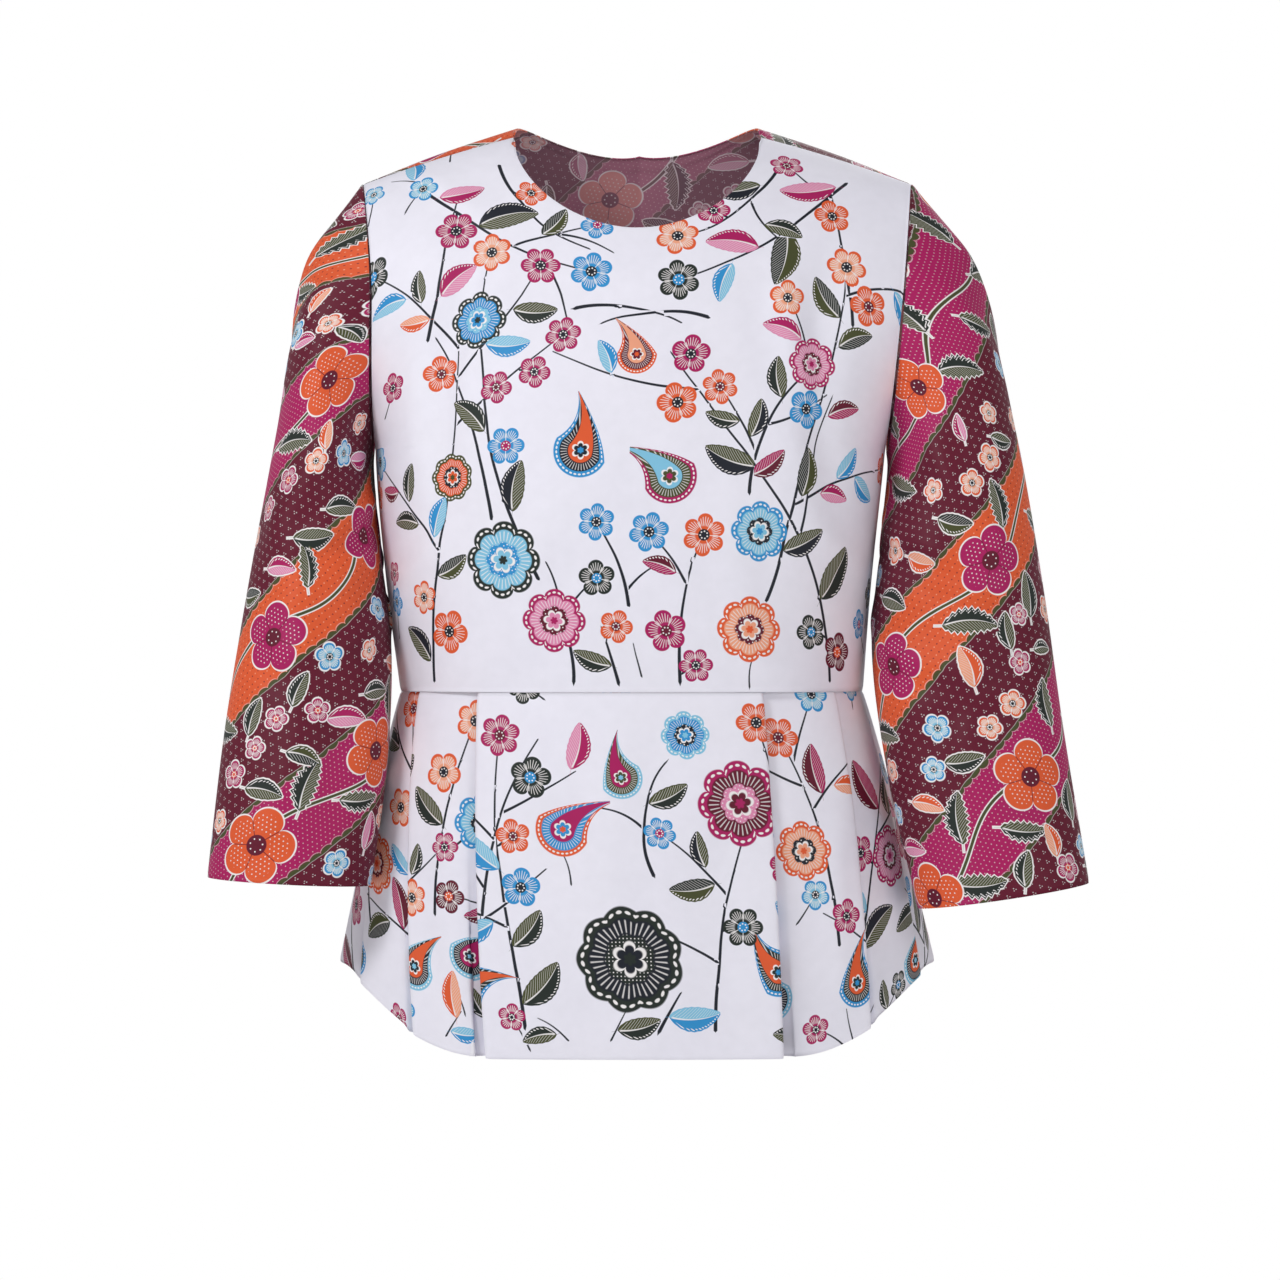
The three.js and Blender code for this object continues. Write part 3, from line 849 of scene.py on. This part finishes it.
def flat_vector(s, t):
    """s and t as one vector, for the noises."""
    join = Sum.tree.nodes.new("ShaderNodeCombineXYZ")
    feed(join.inputs[0], s)
    feed(join.inputs[1], t)
    return join.outputs[0]


def dot_grid(a, b, size, radius, soft=0.15):
    """Staggered dots of a radius, size mm apart."""
    height = size * 0.87
    row = Sum.math("FLOOR", b / height)
    a = a + (row - Sum.math("FLOOR", row * 0.5) * 2.0) * (size * 0.5)
    da, db = (fraction(a / size) - 0.5) * size, (fraction(b / height) - 0.5) * height
    return under(da * da + db * db, radius * radius, soft)


# ---------------------------------------------------------------- the drawn motifs
def draw_stems(base, ink, outline=None):
    for layer in ("stem", "stalk"):
        d, half, _ = split(layer)
        d = absolute(d)
        if outline is not None:
            base = paint(base, outline, under(d, half + 0.8, 0.25))
        base = paint(base, ink, under(d, half, 0.25))
    return base


def draw_leaves(base, outline=None):
    u, v, length = split("leaf")
    serrated, _, _ = split("leaf_kind")
    inside = most(u * (1.0 - u), 0.0)
    v = v + inside * 1.3 - 0.16
    shape = Sum.math("POWER", inside, 0.75) * 2.83 * (1.12 - u * 0.3)
    teeth = wave(u * length, 4.6) * (serrated * 0.26 + 0.05)
    size = length * LEAF_WIDTH
    edge = (shape * (1.0 - teeth) - absolute(v)) * size  # mm inside the edge
    edge = least(edge, least((1.0 - u) * length - 0.4, (u + 0.14) * length))
    leaf = under(-edge, 0.0, 0.3)
    if outline is not None:
        base = paint(base, outline, under(-edge, 1.1, 0.25))
    base = paint(base, tone("leaf_a"), leaf)
    pale = leaf * under(-v, 0.0, 0.02)
    base = paint(base, tone("leaf_b"), pale)
    slant = u * length - absolute(v) * size * 1.2
    hatch = pale * under(wave(slant, 2.3), 0.24, 0.16)
    hatch = hatch * under(-edge, -0.7, 0.25) * under(-v * size, -0.9, 0.3)
    base = paint(base, CREAM, hatch * 0.5)
    step = absolute(fraction(slant / 2.7) - 0.5) * 2.7
    near = absolute(edge - 1.55)
    dots = leaf * under(v, 0.0, 0.02) * under(step * step + near * near, 0.4, 0.2)
    base = paint(base, CREAM, dots)
    vein = leaf * under(absolute(v * size), (1.0 - u) * 0.55 + 0.1, 0.2) * under(-u, -0.05, 0.02)
    return paint(base, CREAM, vein * 0.9)


def draw_flowers(base, outline=None):
    x, y, radius = split("flower")
    petals, dotted, _ = split("flower_kind")
    r = Sum.math("SQRT", x * x + y * y)
    angle = Sum.math("ARCTAN2", y, x)
    turn = angle * petals / (2 * math.pi)
    lobe = absolute(sine(turn * math.pi))
    reach = radius * (Sum.math("POWER", lobe, 0.55) * 0.36 + 0.64)
    edge = reach - r
    if outline is not None:
        base = paint(base, outline, under(-edge, 1.2, 0.25))
    whole = under(-edge, 0.0, 0.3)
    base = paint(base, tone("flower_a"), whole)
    inner = under(-edge, -radius * 0.15, 0.3)
    base = paint(base, tone("flower_b"), inner)
    hatch_turn = absolute(fraction(turn * 7.0) - 0.5) * r * (2 * math.pi) / (petals * 7.0)
    rays = inner * under(hatch_turn, 0.24, 0.14) * under(-r, -radius * 0.42, 0.7)
    dots = dot_grid(x, y, 3.4, 0.5) * inner * under(-r, -radius * 0.36, 0.5)
    base = paint(base, CREAM, rays * (1.0 - dotted) * 0.85)
    base = paint(base, CREAM, dots * dotted * 0.85)
    gap = absolute(fraction(turn) - 0.5)  # 0.5 at the gaps between petals
    gaps = whole * under(0.5 - gap, 0.25 / (r + 0.5), 0.012) * under(-r, -radius * 0.22, 0.4)
    base = paint(base, CREAM, gaps * (1.0 - dotted) * 0.9)
    base = paint(base, tone("flower_c"), gaps * dotted * 0.85)
    core = under(r, radius * 0.27, 0.35)
    base = paint(base, tone("flower_c"), core)
    seed_turn = absolute(fraction(angle * 7.0 / (2 * math.pi)) - 0.5) * r * (2 * math.pi / 7.0)
    seed_out = absolute(r - radius * 0.17)
    seeds = under(seed_turn * seed_turn + seed_out * seed_out, 0.3, 0.2)
    return paint(base, CREAM, seeds * core)


def draw_bigs(base, outline=None):
    """Botehs, lotus pads and many-petalled blossoms, told apart by their kind."""
    x, y, radius = split("big")
    kind, _, _ = split("big_kind")
    u, v = x / radius, y / radius
    r = Sum.math("SQRT", u * u + v * v)
    angle = Sum.math("ARCTAN2", v, u)
    # A boteh: a round body whose width runs out to a bent tip.
    bend = v - most(u, 0.0) * most(u, 0.0) * 0.34
    run = least(most(u, 0.0) / 1.95, 1.0)
    width = Sum.math("POWER", 1.0 - run, 1.15)
    boteh = Sum.math("SQRT", least(u, 0.0) * least(u, 0.0) + bend * bend) / most(width, 0.02)
    pad = r / (absolute(sine(angle * 4.5)) * 0.1 + 0.9)
    bloom = r / (Sum.math("POWER", absolute(sine(angle * 4.0)), 0.5) * 0.2 + 0.8)
    is_pad, is_bloom = under(-kind, -0.5, 0.1), under(-kind, -1.5, 0.1)
    form = boteh * (1.0 - is_pad) + pad * (is_pad - is_bloom) + bloom * is_bloom
    whole = under(form, 1.0, 0.02)
    if outline is not None:
        base = paint(base, outline, under(form, 1.06, 0.02))
    base = paint(base, tone("big_a"), whole)
    # A row of white dots inside the rim.
    dot_turn = absolute(fraction(angle * 34.0 / (2 * math.pi)) - 0.5) * 0.1
    dot_out = absolute(form - 0.89)
    base = paint(base, CREAM, whole * under(dot_turn * dot_turn + dot_out * dot_out, 0.0011, 0.0005))
    base = paint(base, tone("big_b"), under(form, 0.78, 0.02))
    ray_turn = absolute(fraction(angle * 40.0 / (2 * math.pi)) - 0.5)
    rays = under(ray_turn, 0.13, 0.09) * under(form, 0.74, 0.02) * under(-form, -0.5, 0.02)
    base = paint(base, CREAM, rays * 0.75)
    base = paint(base, tone("big_c"), under(form, 0.46, 0.02))
    small = r / (Sum.math("POWER", absolute(sine(angle * 3.0)), 0.6) * 0.14 + 0.2)
    base = paint(base, CREAM, under(small, 1.0, 0.06) * under(form, 0.46, 0.02))
    base = paint(base, tone("big_b"), under(small, 0.78, 0.06) * under(form, 0.46, 0.02))
    base = paint(base, tone("big_a"), under(small, 0.36, 0.06) * under(form, 0.46, 0.02))
    # Fine scattered dots in the middle band of a pad.
    grid = wave(x, 2.6) * wave(x, 2.6) + wave(y, 2.6) * wave(y, 2.6)
    specks = under(grid, 0.12, 0.08) * under(form, 0.46, 0.02) * under(-small, -1.1, 0.05) * is_pad
    return paint(base, CREAM, specks)


# ---------------------------------------------------------------- the two cloths
THREADS_ACROSS, THREADS_DOWN = 9.6, 9.0  # the weave's waves, radians a mm
PERIOD = 246.0  # from one magenta band to the next, straight across, mm
HALF_BAND = PERIOD / 8
BANDS = dict(  # slant: degrees above level; centre: a magenta band's middle, mm across
    sleeve_right=dict(slant=43.0, centre=-86.0, rise=-1),
    sleeve_left=dict(slant=39.0, centre=12.0, rise=1),
    bodice_back=dict(slant=46.0, centre=20.0, rise=-1),
)
SCALLOP, SCALLOP_DEEP, SCALLOP_FOOT = 9.0, 2.6, 0.8  # the bands' scalloped edge: length, depth, least depth


def new_material(name):
    material = bpy.data.materials.new(name)
    material.use_nodes = True
    Sum.tree = material.node_tree
    return material, Sum.tree.nodes["Principled BSDF"]


def finish_cloth(shader, print_colour, s, t, vector, inner, roughness):
    """Uneven tone, thread bump and a soft cotton lustre; the wrong side is a little paler."""
    broad = noise(vector, 1 / 60.0, 2.0)
    patch = noise(vector, 1 / 9.0, 3.0)
    hue = Sum.tree.nodes.new("ShaderNodeHueSaturation")
    feed(hue.inputs["Color"], print_colour)
    feed(hue.inputs["Value"], (broad - 0.5) * 0.1 + (patch - 0.5) * 0.07 + 1.0)
    feed(hue.inputs["Saturation"], 1.0 - inner * 0.3)
    feed(shader.inputs["Base Color"], hue.outputs[0])
    feed(shader.inputs["Roughness"], (patch - 0.5) * 0.12 + roughness)
    shader.inputs["Sheen Weight"].default_value = 0.03
    shader.inputs["Sheen Roughness"].default_value = 0.45
    shader.inputs["Specular IOR Level"].default_value = 0.25
    weave = sine(s * THREADS_ACROSS) * 0.5 + sine(t * THREADS_DOWN) * 0.5
    slub = noise(vector, 1 / 1.6, 3.0, 0.6)
    crease = noise(vector, 1 / 22.0, 2.0, 0.45)
    bump = Sum.tree.nodes.new("ShaderNodeBump")
    bump.inputs["Strength"].default_value = 0.35
    bump.inputs["Distance"].default_value = MM
    feed(bump.inputs["Height"], weave * 0.02 + slub * 0.05 + crease * 0.8)
    feed(shader.inputs["Normal"], bump.outputs[0])


def printed_cotton():
    """White cloth with the garden print; the wrong side shows it paler."""
    material, shader = new_material("printed_cotton")
    s, t, inner = split("flat")
    vector = flat_vector(s, t)
    print_colour = paint(WHITE, colour(236, 234, 247), noise(vector, 1 / 80.0, 2.0))
    print_colour = draw_stems(print_colour, NAVY)
    print_colour = draw_bigs(print_colour)
    print_colour = draw_leaves(print_colour)
    print_colour = draw_flowers(print_colour)
    print_colour = paint(print_colour, WHITE, inner * 0.55)
    finish_cloth(shader, print_colour, s, t, vector, inner, 0.52)
    return material


def band_axes(node):
    """The directions along and across a piece's bands on its flat cloth."""
    a, rise = math.radians(BANDS[node]["slant"]), BANDS[node]["rise"]
    return (math.cos(a) * rise, -math.sin(a)), (math.sin(a) * rise, math.cos(a))


def banded_batik(node):
    """Slanting bands of magenta, burgundy and orange."""
    material, shader = new_material("banded_batik_" + node)
    s, t, inner = split("flat")
    vector = flat_vector(s, t)
    waver = (noise(vector, 1 / 9.0, 1.0) - 0.5) * 2.0  # so that the bands' edges aren't exact
    (ax, ay), (bx, by) = band_axes(node)
    along = s * ax + t * ay
    across = s * bx + t * by + waver
    from_magenta = absolute(fraction((across - BANDS[node]["centre"]) / PERIOD + 0.5) - 0.5) * PERIOD
    from_orange = PERIOD / 2 - from_magenta
    is_magenta = under(from_magenta, HALF_BAND, 0.2)
    is_orange = under(from_orange, HALF_BAND, 0.2)
    ground = paint(BURGUNDY, MAGENTA, is_magenta)
    ground = paint(ground, ORANGE, is_orange)
    # Fillings: triple dots on burgundy, fine dots on magenta, two colours of dots on orange.
    plain = (1.0 - is_magenta) * (1.0 - is_orange)
    beside = dot_grid(along + 1.7, across + 0.3, 7.0, 0.42)
    below = dot_grid(along + 0.8, across + 1.6, 7.0, 0.42)
    triple = most(dot_grid(along, across, 7.0, 0.42), most(beside, below))
    ground = paint(ground, CREAM, triple * plain * 0.6)
    ground = paint(ground, CREAM, dot_grid(along, across, 3.6, 0.4) * is_magenta * 0.55)
    ground = paint(ground, BURGUNDY, dot_grid(along, across, 6.0, 0.55) * is_orange * 0.8)
    ground = paint(ground, PEACH, dot_grid(along + 3.0, across, 6.0, 0.5) * is_orange * 0.9)
    # Scalloped borders: an olive edge with a thin white line, on the coloured bands' side.
    rim = absolute(HALF_BAND - least(from_magenta, from_orange))  # mm from the nearest band's edge
    swing = fraction(along / SCALLOP) * 2.0 - 1.0
    scallop = Sum.math("SQRT", most(1.0 - swing * swing, 0.0)) * SCALLOP_DEEP
    bright = most(is_magenta, is_orange)
    ground = paint(ground, OLIVE, under(rim, scallop + SCALLOP_FOOT, 0.25) * bright)
    line = absolute(rim - (scallop + (SCALLOP_FOOT + 0.5)))
    ground = paint(ground, CREAM, under(line, 0.2, 0.2) * bright * 0.55)
    print_colour = paint(ground, CREAM, under(rim, 0.2, 0.2) * 0.5)
    print_colour = draw_stems(print_colour, OLIVE, CREAM)
    print_colour = draw_leaves(print_colour, CREAM)
    print_colour = draw_flowers(print_colour, CREAM)
    print_colour = paint(print_colour, PINK, inner * 0.3)
    finish_cloth(shader, print_colour, s, t, vector, inner, 0.56)
    return material


# ---------------------------------------------------------------- the prints' layouts
def garden_print(seed, flat, sprays, bigs, up, fill):
    """Sprays and large forms as listed, then smaller sprigs in the gaps that are left."""
    low, high = print_limits(flat)
    art = Print(seed, low, high)
    rnd = art.random
    for form in bigs:
        art.big(*form)
    for growth in sprays:
        art.spray(**growth)
    for _ in range(fill * 4):
        s, t = rnd.uniform(low[0], high[0]), rnd.uniform(low[1], high[1])
        if art.free(s, t, 21, keep=False):
            heading = math.degrees(up) + rnd.uniform(-50, 50)
            curl = rnd.uniform(-30, 30)
            art.spray((s, t), heading, 30, curl, 1.1, 15, 30, (rnd.uniform(9, 12), 5, 0), 0)
    return art


def banded_print(node, seed, flat):
    """Vines along the middle of each coloured band, with large blossoms, and small ones on burgundy."""
    low, high = print_limits(flat)
    art = Print(seed, low, high)
    rnd = art.random
    reach = (high[0] - low[0]) + (high[1] - low[1])
    a, b = band_axes(node)
    level = math.degrees(math.atan2(a[1], a[0]))

    def place(run, across):
        return a[0] * run + b[0] * across, a[1] * run + b[1] * across

    for band in range(-10, 11):
        middle = BANDS[node]["centre"] + band * PERIOD / 4
        coloured = band % 2 == 0
        every = 108.0 if coloured else 27.0
        run = -reach + rnd.uniform(0, every)
        while run < reach:
            spot = place(run, middle + (rnd.uniform(-4, 4) if coloured else rnd.uniform(-22, 22)))
            if coloured:
                tones = MAGENTA_BLOOM if band % 4 else ORANGE_BLOOM
                art.flower(*spot, rnd.uniform(23, 27), 5, 1, tones)
            else:
                tones = rnd.choice(SMALL_BLOOMS)
                art.flower(*spot, rnd.uniform(7.5, 10), 5, 0, tones)
            run += every * rnd.uniform(0.9, 1.1)
        if coloured:
            runs = np.arange(-reach, reach, 12.0)
            art.stem([place(run, middle + 9.0 * math.sin(run / 24.0 + band)) for run in runs], 1.8, 1.0)
        run, side = -reach, 1
        while run < reach:
            spot = place(run, middle + (7 if coloured else rnd.uniform(4, 20)) * side)
            heading = level + side * BANDS[node]["rise"] * rnd.uniform(25, 65)
            if coloured:
                art.leaf(*spot, heading, rnd.uniform(32, 44), (BOTTLE, OLIVE), 1)
            else:
                tones = rnd.choice(SMALL_LEAVES)
                art.leaf(*spot, heading, rnd.uniform(20, 34), tones)
            run += rnd.uniform(22, 32) if coloured else rnd.uniform(15, 22)
            side = -side
    return art


def print_limits(flat):
    """The lowest and highest s and t of a piece's flat cloth, 5 mm out."""
    places = flat.reshape(-1, 2)
    return places.min(0) - 5, places.max(0) + 5


def boteh(s, t, angle, radius, *colours):
    return (s, t, angle, radius, BOTEH, colours)


def pad(s, t, radius, *colours):
    return (s, t, 0, radius, PAD, colours)


def bloom(s, t, radius, *colours):
    return (s, t, 20, radius, BLOOM, colours)


def spray(s, t, heading, length, curl=0, bloom_size=15, petals=6):
    end = (bloom_size, petals, 0)
    return dict(start=(s, t), heading=heading, length=length, curl=curl, end=end, branch=0.2)


FRONT_BIGS = [
    boteh(-34, 168, 62, 19, BLUE, NAVY, ORANGE), boteh(28, 150, 118, 19, MAGENTA, OLIVE, SKY),
    boteh(2, 236, 90, 14, ORANGE, BURGUNDY, PEACH),
    bloom(-88, 92, 27, BOTTLE, SKY, BLUE), bloom(-52, 50, 22, MAGENTA, PINK, BURGUNDY),
    bloom(84, 44, 23, ORANGE, PEACH, BURGUNDY), bloom(92, 112, 21, BLUE, SKY, NAVY),
    bloom(-112, 262, 21, BOTTLE, BLUE, SKY), bloom(128, 232, 19, MAGENTA, PINK, BURGUNDY),
    pad(-128, 150, 17, OLIVE, ORANGE, NAVY),
]
FRONT_SPRAYS = [
    spray(-62, 78, 118, 250, -36), spray(-96, 120, 100, 150, 30), spray(96, 62, 62, 260, 42),
    spray(84, 136, 92, 130, -40), spray(-148, 6, 88, 250, -14), spray(150, 6, 92, 270, 16),
    spray(-150, 372, -52, 150, 34), spray(148, 380, -128, 160, -34), spray(-96, 392, -84, 110, 60),
    spray(100, 396, -98, 110, -60), spray(-40, 4, 84, 90, 30), spray(34, 4, 96, 110, -34),
    spray(-150, 250, 82, 120, -16), spray(158, 262, 98, 110, 16), spray(-46, 268, 20, 84, -46, 13),
    spray(52, 262, 160, 84, 46, 13), spray(0, 60, 90, 70, 40, 13), spray(-8, 4, 100, 50, 10, 12),
]
SKIRT_BIGS = [
    pad(-16, 186, 37, BOTTLE, NAVY, BOTTLE), pad(-64, 206, 24, NAVY, BOTTLE, OLIVE),
    bloom(66, 78, 30, MAGENTA, BURGUNDY, PINK), bloom(30, 30, 17, SKY, BLUE, NAVY),
    boteh(-58, 96, 300, 19, ORANGE, BLUE, MAGENTA), boteh(-16, 60, 236, 15, SKY, OLIVE, MAGENTA),
    boteh(86, 196, 212, 17, BLUE, BOTTLE, ORANGE), boteh(118, 214, 236, 16, SKY, NAVY, MAGENTA),
    boteh(-132, 206, 318, 17, BLUE, BOTTLE, ORANGE), boteh(-164, 186, 300, 16, SKY, NAVY, MAGENTA),
    boteh(186, 206, 250, 17, BLUE, BOTTLE, ORANGE), boteh(-214, 196, 290, 17, SKY, NAVY, ORANGE),
    bloom(146, 112, 21, ORANGE, PEACH, NAVY), bloom(-150, 92, 22, BLUE, SKY, NAVY),
    bloom(262, 120, 22, MAGENTA, PINK, BURGUNDY), bloom(-286, 126, 22, ORANGE, PEACH, BURGUNDY),
    boteh(300, 196, 270, 17, SKY, NAVY, ORANGE), boteh(-330, 190, 270, 17, BLUE, BOTTLE, MAGENTA),
]
SKIRT_SPRAYS = [
    spray(40, 236, -84, 150, 30), spray(-90, 236, -96, 210, 26), spray(112, 180, -88, 170, -24),
    spray(-120, 176, -86, 160, 22), spray(170, 180, -96, 160, -20), spray(-190, 160, -88, 150, 18),
    spray(226, 210, -92, 200, 16), spray(-244, 210, -90, 200, -16), spray(300, 170, -88, 160, 12),
    spray(-300, 170, -92, 160, -12), spray(4, 130, -120, 90, 60, 13), spray(96, 130, -60, 90, -60, 13),
    spray(350, 220, -92, 200, 10), spray(-370, 220, -88, 200, -10), spray(0, 238, -60, 40, 0, 10),
]

BODICE_FOLDS = [  # s, t, angle, length, width, height: mm and degrees on the flat cloth
    (-136, 216, 86, 170, 15, -3.4), (134, 222, 95, 170, 15, -3.6), (-108, 262, 72, 110, 12, 2.0),
    (112, 250, 108, 120, 12, 2.2), (-70, 70, 76, 120, 13, 1.5), (78, 76, 103, 120, 13, 1.6),
    (-150, 96, 34, 90, 10, 1.8), (152, 104, 148, 90, 10, 1.8), (-20, 120, 84, 120, 16, 0.9),
    (30, 330, 98, 80, 14, 0.8), (-132, 372, 128, 90, 11, 1.3), (136, 366, 52, 90, 11, 1.3),
]
BACK_FOLDS = [
    (-120, 220, 86, 150, 14, -2.0), (122, 212, 95, 160, 14, -2.0), (0, 40, 92, 90, 12, -1.4),
    (-46, 60, 70, 90, 12, 1.2), (52, 56, 108, 90, 12, 1.2),
]
SLEEVE_FOLDS = [  # t runs up from 0 at the cuff to about -290 under the arm and -500 at the shoulder
    (52, -262, 24, 90, 10, 3.6), (74, -236, 32, 110, 11, -3.0), (96, -296, 62, 120, 13, 3.0),
    (66, -172, 20, 100, 10, 3.0), (92, -140, 150, 100, 11, -2.2), (104, -206, 108, 120, 14, 2.4),
    (92, -66, 76, 120, 14, 2.2), (60, -90, 96, 110, 13, -1.8), (206, -440, 88, 90, 10, 2.0),
    (176, -420, 80, 80, 11, -1.6), (240, -420, 96, 80, 11, -1.6), (296, -280, 60, 120, 12, 3.0),
    (322, -190, 150, 110, 11, 3.0), (340, -230, 146, 100, 11, -2.6), (280, -110, 80, 120, 13, 2.2),
]
SKIRT_FOLDS = [
    (-24, 150, 84, 200, 20, 2.2), (44, 170, 96, 180, 19, -2.2), (170, 150, 92, 150, 14, 1.8),
    (-180, 150, 88, 150, 14, 1.8), (10, 60, 100, 90, 15, -1.0),
]


def cloth_piece(node, material, grid, flat, folds, art, wraps=False, flip=False):
    """One cut piece: its grid folded, thickened at the hem and printed, riding the root body.

    flip turns the right side outwards where the grid runs the other way."""
    normals = normals_of(grid, wraps)
    if flip:
        normals = -normals
    distances = edge_distance(grid, wraps)
    edge = np.minimum.reduce(distances)
    height = fold_height(flat, folds) * smooth(edge, 3, 34)
    thick = CLOTH + HEM_TURN * (1 - smooth(distances[LAST_ROW], 10, 12))
    turned = 0.45 * (1 - smooth(edge, 0, 1.6))
    grid = grid + normals * (height - turned)[..., None]
    if flip:
        grid, flat, normals, thick = grid[:, ::-1], flat[:, ::-1], normals[:, ::-1], thick[:, ::-1]
    piece = wall(node, grid, flat, normals, thick, material, wraps, art(flat).corner_data)
    s, t = flat[..., 0], flat[..., 1]
    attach(piece, "root")
    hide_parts(node)
    size = (float(s.max() - s.min()) * MM, float(t.max() - t.min()) * MM)
    across, down = grid[:-1, 1:] - grid[:-1, :-1], grid[1:, :-1] - grid[:-1, :-1]


def front_art(flat):
    return garden_print(11, flat, FRONT_SPRAYS, FRONT_BIGS, QUARTER, 46)


def skirt_art(seed):
    return lambda flat: garden_print(seed, flat, SKIRT_SPRAYS, SKIRT_BIGS, -QUARTER, 70)


def banded_art(node, seed):
    return lambda flat: banded_print(node, seed, flat)


cotton = printed_cotton()
bodice = bodice_grid(FRONT)
cloth_piece("bodice_front", cotton, bodice, bodice_flat(bodice), BODICE_FOLDS, front_art)
bodice = bodice_grid(BACK)
cloth_piece(
    "bodice_back", banded_batik("bodice_back"), bodice, bodice_flat(bodice), BACK_FOLDS,
    banded_art("bodice_back", 5), flip=True,
)
for arm, name in ((-1, "sleeve_right"), (1, "sleeve_left")):
    sleeve = sleeve_grid(arm)
    cloth_piece(
        name, banded_batik(name), sleeve, sleeve_flat(sleeve), SLEEVE_FOLDS,
        banded_art(name, 20 + arm), wraps=True, flip=arm > 0,
    )
for name, panel, pleats, seed, flip in (
    ("peplum_front", FRONT, FRONT_PLEATS, 31, True),
    ("peplum_back", BACK, BACK_PLEATS, 32, False),
):
    skirt = peplum_grid(panel, pleats)
    cloth_piece(
        name, cotton, skirt, skirt_flat(skirt), SKIRT_FOLDS, skirt_art(seed), flip=flip
    )


# ---------------------------------------------------------------- floor, light and camera
def area_light(name, place, aim, size, power_w):
    data = bpy.data.lights.new(name, "AREA")
    data.shape, data.size, data.energy = "DISK", size, power_w
    lamp = bpy.data.objects.new(name, data)
    bpy.context.scene.collection.objects.link(lamp)
    lamp.location = place
    lamp.rotation_euler = (Vector(aim) - Vector(place)).to_track_quat("-Z", "Y").to_euler()


FLOOR_Z, FLOOR_HALF = -1.2, 9.0
GLOW_FROM, GLOW_TO = 1.6, 2.6  # how far out the floor fades into the white behind
WORLD_LIGHT, WORLD_SEEN = 0.36, 1.0
CENTRE = (0, 0, -0.33)
CAMERA_PLACE = (0.002, -3.1, -0.361)
LENS_MM, SENSOR_MM = 120.9, 36.0

corners = [(-1, -1), (1, -1), (1, 1), (-1, 1)]
mesh = bpy.data.meshes.new("floor")
mesh.from_pydata([(FLOOR_HALF * x, FLOOR_HALF * y, FLOOR_Z) for x, y in corners], [], [(0, 1, 2, 3)])
floor = bpy.data.objects.new("floor", mesh)
bpy.context.scene.collection.objects.link(floor)
pale, shader = new_material("floor")
nodes, links = Sum.tree.nodes, Sum.tree.links
shader.inputs["Base Color"].default_value = (0.88, 0.88, 0.88, 1)
shader.inputs["Roughness"].default_value = 0.9
glow, blend = nodes.new("ShaderNodeEmission"), nodes.new("ShaderNodeMixShader")
place, reach = nodes.new("ShaderNodeTexCoord"), nodes.new("ShaderNodeVectorMath")
fade = nodes.new("ShaderNodeMapRange")
reach.operation = "LENGTH"
fade.inputs["From Min"].default_value = GLOW_FROM
fade.inputs["From Max"].default_value = GLOW_TO
links.new(place.outputs["Object"], reach.inputs[0])
links.new(reach.outputs["Value"], fade.inputs["Value"])
links.new(fade.outputs[0], blend.inputs[0])
links.new(shader.outputs[0], blend.inputs[1])
links.new(glow.outputs[0], blend.inputs[2])
links.new(blend.outputs[0], nodes["Material Output"].inputs["Surface"])
mesh.materials.append(pale)

# The world lights the cloth less than it shows behind it.
world = bpy.data.worlds.new("world")
world.use_nodes = True
nodes, links = world.node_tree.nodes, world.node_tree.links
seen, path = nodes.new("ShaderNodeMapRange"), nodes.new("ShaderNodeLightPath")
seen.inputs["To Min"].default_value = WORLD_LIGHT
seen.inputs["To Max"].default_value = WORLD_SEEN
links.new(path.outputs["Is Camera Ray"], seen.inputs["Value"])
nodes["Background"].inputs["Color"].default_value = (1, 1, 1, 1)
links.new(seen.outputs[0], nodes["Background"].inputs["Strength"])
bpy.context.scene.world = world
bpy.context.scene.view_settings.view_transform = "Standard"
area_light("key", (-1.9, -1.9, 1.5), CENTRE, 0.9, 40)
area_light("fill", (1.9, -2.5, 0.4), CENTRE, 1.6, 15)
area_light("rim", (0.6, 1.9, 1.2), CENTRE, 1.2, 12)

camera = bpy.data.cameras.new("camera")
camera.lens, camera.sensor_width = LENS_MM, SENSOR_MM
view = bpy.data.objects.new("camera", camera)
bpy.context.scene.collection.objects.link(view)
view.location = CAMERA_PLACE
view.rotation_euler = (QUARTER, 0, 0)
bpy.context.scene.camera = view
